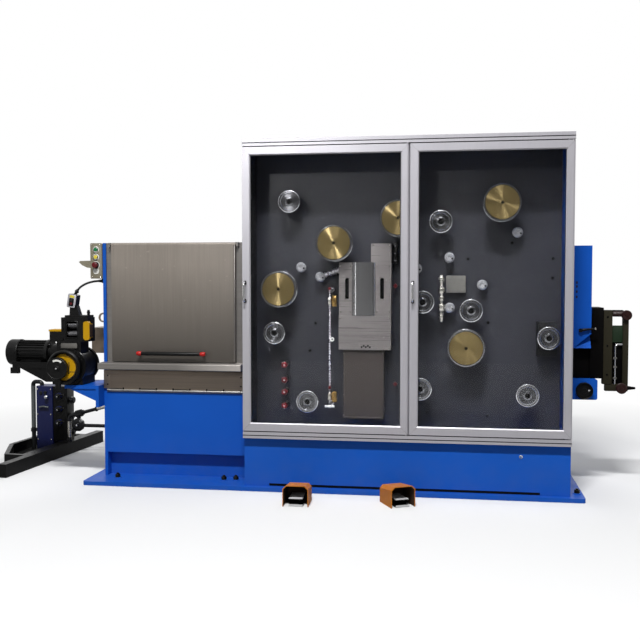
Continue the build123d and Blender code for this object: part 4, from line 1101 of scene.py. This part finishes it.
# %% Hinge barrels and flap strips
flap_low, flap_high = corners("flap")
pitch, end_gap, barrel_r = 0.11175, 0.001, 8.3
pin_y, pin_z = -0.417, 0.588
hinge_left, hinge_right = flap_low[0] + 0.021, flap_high[0] - 0.002
starts = np.arange(hinge_left, hinge_right, pitch) + end_gap
stops = np.minimum(starts + pitch, hinge_right) - 2 * end_gap


def barrel(start, stop):
    """A hinge barrel: a turned sleeve with rounded rims."""
    long = (stop - start) / MM
    line = [(4, 0), (barrel_r - 1, 0), (barrel_r, 1), (barrel_r, long - 1), (barrel_r - 1, long), (4, long)]
    return lathe(line, (start, pin_y, pin_z), "x", 24)


fixed, moving = ([(barrel(*ends), barrel_steel) for ends in zip(starts[k::2], stops[k::2])] for k in (0, 1))
piece("hinge_barrels_fixed", "machine", fixed)
strip_low, strip_high = flap_low[2] + 0.020, flap_high[2] - 0.001
flap_left, flap_right, flap_face = flap_low[0] + 0.0005, flap_high[0] - 0.0005, pin_y - 0.004
strip_face = flap_face - 0.0022
for left, right, screw_x in ((flap_left, flap_low[0] + 0.044, flap_low[0] + 0.028),
                             (flap_high[0] - 0.065, flap_right, flap_high[0] - 0.050)):
    side_strip = rounded_block((left, strip_face, strip_low), (right, flap_face + 0.001, strip_high), 1, 0.6)
    moving.append((side_strip, sheet_flap))
    screws = [(screw_x, strip_face, z) for z in (strip_low + 0.026, strip_high - 0.014)]
    moving.append((bolt_heads(screws, 5, 3, 16), dark_seam_and_shade))
# Painted shadow: a flat black block over each barrel joint stands for the shade in the flap's notch.
notch = rounded_block((-0.0045, flap_face - 0.0012, pin_z + 0.001),
                      (0.0045, flap_face + 0.001, pin_z + 0.018), 2, 0.4)
moving.append((copies(notch, [(x - end_gap, 0, 0) for x in starts[1:]]), slot_black))
hem = rounded_block((flap_left, flap_face - 0.0016, flap_high[2] - 0.004),
                    (flap_right, flap_face + 0.003, flap_high[2] + 0.020), 1.2, 0.8)
moving.append((hem, sheet_flap))
piece("flap_trim", "flap", moving)

# %% [markdown]
# ## Control box
# The box on the end plate has a screwed front, a green and a yellow button with bright bezels, and a red
# mushroom with a collar, each over a blank pale disc.

# %% Control box front and buttons
box_low, box_high = corners("control_box")
box_left, box_right = box_high[0] - 0.079, box_high[0]
button_x = (box_left + box_right) / 2
face = box_low[1] - 0.002
panel = rounded_block((box_left + 0.004, face, box_low[2] + 0.004),
                      (box_right - 0.004, face + 0.004, box_high[2] - 0.004), 6, 1)
screws = face_grid((box_left + 0.011, box_right - 0.011), face, (box_low[2] + 0.011, box_high[2] - 0.011))
front_parts = [(panel, grey_box), (bolt_heads(screws, 4, 2, 16), nickel)]
piece("control_box_front", "machine", front_parts)
disc_line = [(0, -1), (20.5, -1), (21, -0.5), (21, 1)]
bezel_line = [(12.5, -9), (15, -10), (17, -7), (17.5, -1), (17.5, 1)]
key_line = [(0, -12), (11, -11.5), (12.5, -9), (12.5, 0)]
collar_line = [(0, -1), (25, -1), (25.5, 0), (25.5, 1)]
neck_line = [(16.5, -22), (17.5, -8), (20.5, -5), (20.5, 0)]
top_line = [(0, -30), (11, -29.5), (17.5, -27.5), (19.5, -24), (18.5, -21), (0, -21)]
button_rows = []
for drop, finish in ((0.042, green_key), (0.090, yellow_key)):
    button_rows += [(disc_line, drop, 40, white_plain), (bezel_line, drop, 40, chrome),
                    (key_line, drop, 40, finish)]
button_rows += [(collar_line, 0.142, 48, white_plain), (disc_line, 0.180, 40, white_plain),
                (neck_line, 0.142, 40, black_plain), (top_line, 0.142, 48, deep_red)]
buttons = [(lathe(line, (button_x, face, box_high[2] - drop), steps=steps), finish)
           for line, drop, steps, finish in button_rows]
piece("control_buttons_set", "machine", buttons, ["control_buttons"])

# %% [markdown]
# ## Switch box and cable glands
# The small switch box leans to one side on its post. Its grey front carries a blank yellow plate, a black
# button and a red one. The pieces are made upright and then turned about the box's middle, as the box itself
# is. A nut and a tapered sleeve guard the cable at both ends.

# %% Switch box front
lean = 9.0
switch_mid = np.array([-1.669, -0.432, 1.168])
switch_face = switch_mid - (0, 0.0275, 0)


def on_switch(low, high, corner, edge):
    """A block measured from the middle of the switch box's front, before it is turned."""
    return rounded_block(switch_face + low, switch_face + high, corner, edge)


rim = on_switch((-0.0285, -0.006, -0.0425), (0.0285, 0.001, 0.0425), 8, 2)
well = on_switch((-0.0165, -0.0066, -0.034), (0.0165, 0, 0.018), 4, 0.4)
label = on_switch((-0.0165, -0.007, 0.0205), (0.0165, 0, 0.036), 2, 0.5)
key_line = [(0, -11), (7, -11), (8.5, -9), (8.5, 0)]
upper_key, lower_key = (lathe(key_line, switch_face + (0, 0, z), steps=28) for z in (0.005, -0.018))
switch_parts = [(rim, aluminium), (well, black_plain), (label, yellow_key), (upper_key, dark_seam_and_shade),
                (lower_key, deep_red)]
switch_parts = [(turned_about(shape, lean, switch_mid, "y"), finish) for shape, finish in switch_parts]
piece("switch_box_front", "machine", switch_parts)

# %% Cable glands
half = cable_width / 2 / MM
nut_line = [(half + 0.8, 0), (half + 8, 0), (half + 8, 8), (half + 6, 10), (half + 0.8, 10)]
sleeve_line = [(half + 0.6, 8), (half + 4.5, 8), (half + 3.5, 14), (half + 1.2, 34), (half + 0.6, 34)]
short_sleeve = [(radius, 8 + (along - 8) * 0.45) for radius, along in sleeve_line]
near = cable_route[0], cable_route[1] - cable_route[0]
far = cable_route[-1], cable_route[-2] - cable_route[-1]
gland_rows = ((nut_line, 6, near, black_plain), (nut_line, 6, far, black_plain),
              (sleeve_line, 24, near, rubber), (short_sleeve, 24, far, rubber))
glands = [(aimed(lathe(line, axis="z", steps=steps), *cable_end), finish)
          for line, steps, cable_end, finish in gland_rows]
piece("cable_glands", "machine", glands)

# %% [markdown]
# ## Pointing unit
# The pointing unit rolls the wire's end to a point. On its drum sits an off-centre cover with a blank pale
# arc, and behind the cover shows a yellow face with dark seams. The roll guard has a brown pierced side, and
# a bare plate sits under the roll stand. All of it is thin trim on the black casting, so it is laid on the
# solid's faces.

# %% Pointing unit trim
cover = np.array([-1.730, -0.566, 0.737])
drum = np.array([-1.697, -0.540, 0.742])
yellow_front = -0.524
boss_line = [(0, -10), (9, -10), (12, -6), (20, -4), (22, 1)]
rim_line = [(62, -1.2), (66, -3), (70.5, -1), (70.5, 4)]
drum_line = [(92, -0.5), (96, -4), (104, -4), (108, -0.5)]
angles = np.radians(np.arange(20, 380, 60))
ring = drum + np.stack([0.100 * np.cos(angles), np.full(6, -0.004), 0.100 * np.sin(angles)], axis=1)
trim = [
    (arc_plate(cover, (46, 58), (52, 118), (-0.8, 1)), white_plain),
    (lathe(boss_line, cover, steps=32), black),
    (bolt_heads([cover - (0, 0.010, 0)], 6), chrome),
    (lathe(rim_line, cover, steps=64), black),
    (lathe(drum_line, drum, steps=72), black),
    (bolt_heads(ring, 6), black_plain),
]
for x0, x1, z0, z1 in ((-1.682, -1.613, 0.711, 0.7145), (-1.668, -1.662, 0.700, 0.775)):
    seam = rounded_block((x0, yellow_front - 0.0008, z0), (x1, yellow_front + 0.001, z1), 0.5, 0.2)
    trim.append((seam, dark_seam_and_shade))
trim.append((arc_plate((drum[0], yellow_front, drum[2]), (78, 85.5), (-75, 80), (-1, 1), 24), dark_seam_and_shade))
trim.append((rounded_block((-1.741, -0.4768, 0.862), (-1.630, -0.475, 0.894), 4, 0.6), plate_grey))
piece("pointing_unit_trim", "machine", trim)

# %% Roll guard side and stand
guard_x = corners("pointer_guards")[1][0]
roll_low, roll_high = 0.917, 1.037
brown_side = rounded_block((guard_x - 0.004, -0.492, roll_low + 0.018),
                           (guard_x + 0.0015, -0.441, roll_high - 0.018), 4, 1)
hole = lathe([(0, 2), (5.5, 2), (6, 1.2), (6, 0)], axis="x", steps=12)
rows = np.linspace(roll_low + 0.030, roll_high - 0.030, 5)
holes = copies(hole, [(guard_x, y, z) for y in (-0.480, -0.453) for z in rows])
piece("roll_guard_side", "machine", [(brown_side, brown_and_painted_shade), (holes, dark_seam_and_shade)])
stand_bolts = face_grid((-1.729, -1.585), -0.470, (0.92, 0.985, 1.045))
stand_parts = [(bolt_heads(stand_bolts, 7, 6), black_plain)]
screw_line = [(0, 1108), (8, 1108), (9, 1105), (9, 1098), (12, 1096), (12, 1086), (0, 1086)]
stand_parts += [(lathe(screw_line, (x, -0.39, 0), "z", 6), black_plain) for x in (-1.704, -1.586)]
window_low, window_high = np.array([(-1.707, -0.4705, 0.925), (-1.626, -0.469, 1.039)])
frame_outline = [(0, 0), (4, -2), (6, 0), (6, 3), (0, 3)]
stand_parts.append((mitred_frame(window_low, window_high, frame_outline), black))
piece("roll_stand_trim", "machine", stand_parts)

# %% Motor trim
motor_low, motor_high = corners("pointer_motor")
motor_end = np.array([motor_low[0], -0.330, 0.820])
flange = np.array([motor_high[0] - 0.074, *motor_end[1:]])
angles = np.radians(np.arange(45, 405, 90))
ring = flange + 0.074 * np.stack([np.zeros(4), np.cos(angles), np.sin(angles)], axis=1)
nut = lathe([(0, 8), (6, 8), (8, 6), (8, -1)], axis="x", steps=6)
motor_parts = [(copies(nut, ring), black_plain)]
for radius in np.linspace(20, 65, 4):
    ring_line = [(radius - 3, 1), (radius - 3, -2), (radius + 3, -2), (radius + 3, 1)]
    motor_parts.append((lathe(ring_line, motor_end, "x", 48), black_plain))
band_line = [(86.2, 80), (87.2, 78), (87.2, 70), (86.2, 68)]
motor_parts.append((lathe(band_line, motor_end, "x", 64), black))
piece("motor_trim", "machine", motor_parts)

# %% [markdown]
# ## Coolant stand
# The stand mixes and filters the drawing coolant. Black valves with levers hang on its column, a bright ball
# knob and a lever sit on the dark blue box, and the feed pipe has a polished stretch and a ribbed hand
# valve.

# %% Coolant stand trim
stand_low, stand_high = corners("coolant_box")
side_x, stand_face = stand_high[0], stand_low[1] + 0.014
column_x = side_x - 0.060
column_low = (side_x - 0.1125, stand_face + 0.0080, corners("coolant_skid")[1][2] + 0.001)
column_high = (side_x + 0.0015, stand_face + 0.1315, stand_high[2] - 0.0015)


def on_stand(x, out, z):
    """A point in front of the coolant stand's face."""
    return np.array([x, stand_face - out, z])


cool = [(rounded_block(column_low, column_high, 4, 2, "z"), black)]
for z, reach in ((0.395, 40), (0.275, 34), (0.160, 42)):
    side_valve = [(12, 0), (12, 12), (27, 14), (30, 20), (22, reach - 8), (24, reach - 4), (20, reach),
                  (0, reach)]
    cool.append((lathe(side_valve, on_stand(side_x, -0.055, z), "x", 48, 8, 0.05), pipe_dark))
hub = [(0, -34), (12, -34), (15, -30), (15, -20), (21, -18), (21, -12)]
for z in (0.43, 0.33, 0.23):
    cool.append((lathe(hub, on_stand(column_x, 0, z), steps=24), pipe_dark))
    lever_path = [on_stand(column_x, 0.030, z), on_stand(column_x + 0.020, 0.034, z + 0.012),
                  on_stand(column_x + 0.052, 0.034, z + 0.016)]
    cool.append((tube(bent_path(lever_path, 8), 6, 12), black_plain))
    cool.append((bolt_heads([on_stand(column_x, 0.034, z)], 5, 3), chrome))
knob_line = [(0, -16), (9, -13.5), (14.5, -7), (16, 0), (14.5, 7), (9, 13.5), (0, 16)]
ball_x, ball_z = -2.238, 0.423
ball = on_stand(ball_x, 0.024, ball_z)
handle_path = [on_stand(-2.300, 0.018, 0.345), on_stand(-2.262, 0.020, 0.352), on_stand(-2.225, 0.018, 0.345)]
handle_post = np.linspace(on_stand(-2.262, 0.019, 0.351), on_stand(-2.262, -0.002, 0.351), 4)
gauge = [(0, -10), (11, -10), (13, -8), (13, 1)]
cool += [
    (lathe(knob_line, ball, steps=28), chrome),
    (tube(np.linspace(ball, on_stand(ball_x, -0.002, ball_z), 4), 6, 12), pipe_grey),
    (tube(bent_path(handle_path, 10), 7, 12), pipe_grey),
    (tube(handle_post, 5, 12), pipe_grey),
    (lathe(gauge, on_stand(-2.292, 0, 0.452), steps=24), pipe_dark),
    (lathe(gauge, on_stand(-2.256, 0, 0.455), steps=24), pipe_dark),
    (bolt_heads(face_grid((-2.318, -2.215), stand_face, (0.10, 0.29, 0.48)), 6), nickel),
]
piece("coolant_stand_trim", "machine", cool)

# %% Pipe sleeves and valve
feed_x, feed_y = -2.062, 0.335
feed_start, feed_stop = np.array([feed_x, feed_y, 0.284]), np.array([-1.475, feed_y, 0.442])
along = unit(feed_stop - feed_start)
polished = np.linspace(feed_start + along * 0.23, feed_stop - along * 0.03, 6)
ring = lathe([(12, 0), (18, 2), (18, 14), (12, 16)], axis="z", steps=24)
level_up = (0.9, 0.1, 0.2)
upright = np.linspace((feed_x, feed_y, 0.125), (feed_x, feed_y, 0.245), 5)
standpipe = np.linspace((-2.378, 0.40, 0.182), (-2.378, 0.40, 0.500), 8)
valve = np.array([-1.986, feed_y, 0.222])
hand = [(0, -40), (12, -40), (14, -33), (47.5, -21.5), (48.5, -16), (48.5, -4), (47.5, 1)]
sleeves = [
    (tube(polished, 13.6, 20), nickel),
    (aimed(ring, feed_start + along * 0.215, along), pipe_dark),
    (aimed(ring, feed_start + along * 0.40, along), pipe_dark),
    (tube(upright, 13.6, 20, level_up), nickel),
    (lathe(hand, valve, steps=80, lobes=10, lobe=0.025), pipe_dark),
    (bolt_heads([valve - (0, 0.040, 0)], 8, 5), chrome),
    (tube(standpipe, 16.6, 24, level_up), pipe_grey),
]
piece("coolant_pipe_sleeves", "machine", sleeves)

# %% [markdown]
# ## Wire outlet
# On the outlet side the wire leaves through a dark guide frame: panels, a khaki post, a slimmer bar, two
# rails, a green plate, dark red rollers and a bent bright tube. The frame's solid is one piece, so it is
# made again here with a finish for each bar, every place worked out from the outlet box and the bracket
# under it.

# %% Guide frame
outlet_low, outlet_high = corners("exit_box")
bracket_low, bracket_high = corners("exit_bracket")
outlet_right, shelf_z = outlet_high[0], bracket_high[2]
post_x = outlet_right + 0.079
post_right, bar_x = post_x + 0.056, post_x + 0.121
rail_z = shelf_z - 0.035
top_z = rail_z + 0.462
front = outlet_low[1] + 0.06
core_y = front + 0.012
tube_x = post_x + 0.078


def bar(x0, x1, y0, y1, z0, z1):
    """A squared bar with softened edges, its depth measured from the guide frame's front."""
    return rounded_block((x0, front + y0, z0), (x1, front + y1, z1), 3, 1.5)


def roller(x, z, radius):
    """A roller on a level axis: two flanges with a hollow between them and a bolt in front."""
    line = [(0, -29), (8, -29), (10, -25), (radius - 3, -25), (radius, -22), (radius, -18), (radius - 5, -14),
            (radius - 5, -8), (radius, -4), (radius, 0), (0, 4)]
    return lathe(line, (x, front, z), steps=40)


shaft_line = [(0, 57), (15, 57), (17, 61), (17, 121)]
spindle_line = [(13, 20), (13, 34), (7, 80), (0, 82)]
bend_z = rail_z + 0.248
bent = bent_path([(tube_x, core_y, rail_z), (tube_x, core_y, bend_z), (bar_x, core_y, bend_z)], 18)
guide = [
    (bar(outlet_right, post_x + 0.003, -0.010, 0.190, shelf_z, top_z + 0.015), umber),
    (bar(bracket_low[0], outlet_right + 0.001, 0.0, 0.190, shelf_z, outlet_low[2] - 0.002), umber),
    (bar(post_x, post_x + 0.057, -0.002, 0.040, rail_z - 0.001, top_z), khaki),
    (bar(post_right, bar_x + 0.001, 0.005, 0.035, top_z - 0.040, top_z), umber),
    (bar(post_x + 0.017, bar_x + 0.034, 0.002, 0.038, rail_z - 0.044, rail_z), khaki),
    (bar(bar_x, bar_x + 0.034, 0.0, 0.040, rail_z - 0.001, top_z - 0.004), khaki),
    (bar(post_right, bar_x + 0.001, 0.014, 0.022, rail_z + 0.261, rail_z + 0.366), leaf_green),
    (bar(post_right, bar_x + 0.001, 0.030, 0.038, rail_z - 0.001, rail_z + 0.262), umber),
    (roller(bar_x + 0.018, top_z - 0.031, 31), maroon),
    (roller(bar_x - 0.006, rail_z - 0.025, 33), maroon),
    (lathe(shaft_line, (post_x, front + 0.002, top_z - 0.024), "x", 28), maroon),
    (lathe(spindle_line, (bar_x, core_y, rail_z - 0.024), "x", 24), umber),
    (tube(bent, 6, 16, up=(0.1, 0.98, 0.1)), chrome),
]
clip = [(6, 0), (12, 1), (12, 12), (6, 13)]
for up in (0.03, 0.10, 0.155):
    guide.append((lathe(clip, (tube_x, core_y, rail_z + up), "z", 16), plate_grey))
post_bolts = [(post_x + 0.028, front - 0.002, rail_z + up) for up in (0.06, 0.24, 0.42)]
guide.append((bolt_heads(post_bolts, 6), umber))
piece("guide_frame", "machine", guide, ["exit_frame"])

# %% Outlet latch and handwheel
outlet_face = outlet_low[1]


def on_outlet(x, out, z):
    """A point in front of the outlet box, measured from its left side."""
    return np.array([outlet_low[0] + x, outlet_face - out, z])


lever_path = bent_path([on_outlet(0.078, 0.010, 0.990), on_outlet(0.110, 0.016, 0.998),
                        on_outlet(0.168, 0.012, 1.004)], 12)
taper = np.linspace(10, 5, len(lever_path))
pivot = [(0, -22), (10, -22), (12, -18), (12, 1)]
tip = [(0, -24), (6, -22), (7, -6), (0, -4)]
slit = rounded_block((-0.005, -0.0006, -0.008), (0.005, 0.001, 0.008), 3, 0.3)
vents = [on_outlet(0.064, 0, z) for z in (1.20, 1.232, 1.264, 1.288)]
latch = [
    (tube(lever_path, taper, 16), black_plain),
    (lathe(pivot, on_outlet(0.090, 0, 0.994), steps=24), black_plain),
    (lathe(tip, on_outlet(0.176, 0, 1.004), steps=16), nickel),
    (copies(slit, vents), dark_seam_and_shade),
]
piece("outlet_latch", "machine", latch)
wheel_low, wheel_high = corners("exit_handwheel")
hub_place = (wheel_low + wheel_high) / 2
hub_place[1] = wheel_low[1]
crank = [(0, -4), (6, -4), (7, -1), (7, 12)]
grip_ring = [(46, -0.6), (49, -2), (52.5, 2), (52.5, 18)]
hand_parts = [(lathe(crank, hub_place + (0.026, 0, 0.004), steps=20), chrome),
              (lathe(grip_ring, hub_place, steps=96, lobes=24, lobe=0.012), black_plain)]
piece("handwheel_grip", "exit_handwheel", hand_parts)
eyelet_line = [(5.5, 1), (5.5, -3), (8, -4), (10.5, -2), (10.5, 1)]
eyelet = lathe(eyelet_line, (1.179, plinth_low[1], 0.255), steps=28)
piece("plinth_eyelet", "machine", [(eyelet, nickel)])

# %% [markdown]
# ## Foot switches
# Two folded sheet hoods guard the treads. A hood is one section with sloping roof corners, carried back
# while its roof falls; a dark brown skin inside, the same section a little smaller, is painted shade. The
# tread's alloy top has ridges across it, from a wave along its length, over a black body.

# %% Foot switch hoods
foot_places = [(-0.117, -0.925, 2.0), (0.499, -0.849, 27.0)]
hood_half, hood_depth, hood_wall, slope = 0.075, 0.172, 0.004, 0.019
roof_front, roof_back = 0.122, 0.101
inner_depth = hood_depth - hood_wall


def hood_section(inset, height):
    """(x, z) points of a hood's section: two walls and a roof with sloping corners."""
    side, top = hood_half - inset, height - inset
    half = np.array([(side - slope, top), (side, top - slope), (side, 0)])
    return np.concatenate([half[::-1] * (-1, 1), half])


def hood_shell(inset, wall, start, stop):
    """A bent sheet of some thickness: an outer and an inner section joined into one outline and carried back
    while the roof falls evenly."""
    depths = np.array([start, stop])
    tops = roof_front + (roof_back - roof_front) * depths / hood_depth
    rings = [np.concatenate([hood_section(inset, top), hood_section(inset + wall, top)[::-1]])
             for top in tops]
    x, z = np.moveaxis(np.array(rings), -1, 0)
    points = np.stack([x, np.broadcast_to(depths[:, None], x.shape), z], axis=-1)
    return capped(points, *x.shape)


def placed(shape, place):
    """A shape made at the origin, turned and moved to a foot switch's place."""
    x, y, turn_by = place
    return copies(turned_about(shape, turn_by, (0, 0, 0)), [(x, y, 0)])


ear = rounded_block((-0.003, 0.132, 0), (0.003, 0.158, 0.046), 6, 1, "x")
hood = [
    (hood_shell(0, hood_wall, 0, hood_depth), orange),
    (carried(hood_section(0.0005, roof_back), inner_depth, hood_depth), orange),
    # Painted shade: the dark brown skin inside the hood.
    (hood_shell(hood_wall, 0.0008, 0.003, inner_depth), brown_and_painted_shade),
    (carried(hood_section(0.005, roof_back), inner_depth - 0.001, inner_depth), brown_and_painted_shade),
    (rounded_block((-0.042, 0.008, 0), (0.042, 0.016, 0.011), 2, 1), tread_bright),
    (rounded_block((-0.042, 0.014, 0), (0.042, 0.152, 0.008), 4, 1, "z"), black_plain),
    (rounded_block((-0.0705, 0.092, 0), (0.0705, 0.168, 0.006), 2, 1, "z"), black_plain),
    (copies(ear, [(-0.045, 0, 0), (0.045, 0, 0)]), black_plain),
]
hood_parts = [(placed(shape, place), finish) for place in foot_places for shape, finish in hood]
piece("foot_switch_hoods", "machine", hood_parts, ["pedal_guards"])

# %% Foot switch treads
tread_half, tread_front, tread_back = 0.040, 0.014, 0.154
tread_low, tread_top, tread_seam = 0.038, 0.046, 0.042
ridge, ridge_pitch = 0.0012, 0.014
y = np.linspace(tread_front, tread_back, 61)
ridges = tread_top - ridge + ridge * np.cos(2 * np.pi * (y - tread_front) / ridge_pitch)
alloy = np.concatenate([np.stack([y, ridges], axis=1), [(tread_back, tread_seam), (tread_front, tread_seam)]])
body = [(tread_front, tread_seam), (tread_back, tread_seam), (tread_back, tread_low),
        (tread_front + 0.004, tread_low)]
pin_line = [(0, -47), (3.8, -47), (3.8, -40), (8, -39.8), (8, 39.8), (3.8, 40), (3.8, 47), (0, 47)]
tread = [
    (carried(alloy, -tread_half, tread_half, "x"), tread_bright),
    (carried(body, -tread_half, tread_half, "x"), black_plain),
    (lathe(pin_line, (0, 0.146, 0.034), "x", 24), black_plain),
]
for side, place in zip(("left", "right"), foot_places):
    tread_parts = [(placed(shape, place), finish) for shape, finish in tread]
    piece(f"{side}_tread", f"{side}_pedal", tread_parts, [f"{side}_pedal"])

# %% [markdown]
# ## Floor
# A wide pale floor catches the machine's shadow. For the camera it fades into the white background with
# distance, so no horizon line shows, and for light that bounces it is greyer, so it doesn't light the
# machine from below.

# %% Floor
reach, floor_z = 40.0, -0.001
floor_mat, tree, ground = blank("pale_floor")
path = add(tree, "LightPath").outputs
looked_at = maths(tree, "MAXIMUM", path["Is Camera Ray"], path["Is Transmission Ray"])
tone = blend_colour(tree, looked_at, (0.35, 0.35, 0.35, 1), (0.80, 0.80, 0.80, 1))
feed(tree, ground, {"Base Color": tone, "Roughness": 0.9, "Specular IOR Level": 0.0})
spot = add(tree, "TexCoord").outputs["Object"]
distance = add(tree, "VectorMath", {0: spot}, operation="LENGTH").outputs["Value"]
far_off = spread(tree, distance, 0.0, 1.0, 2.6, 4.6)
glow = add(tree, "Emission", {"Color": WHITE})
fade = {0: maths(tree, "MULTIPLY", far_off, looked_at), 1: ground.outputs[0], 2: glow.outputs[0]}
show(tree, add(tree, "MixShader", fade))
floor = sheet("floor", [(-reach, -reach, floor_z), (reach, -reach, floor_z), (reach, reach, floor_z),
                        (-reach, reach, floor_z)], floor_mat)
floor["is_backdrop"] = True
print("floor", reach * 2, "m wide")

# %% [markdown]
# ## Close
# The box of the solids and the box of the dressed machine are written side by side, to see that no skin
# stands too far out.

# %% Sizes and finish
boxes = {"cad": cad_box, "visual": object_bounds()}
{name: [list(map(float, corner)) for corner in box] for name, box in boxes.items()}
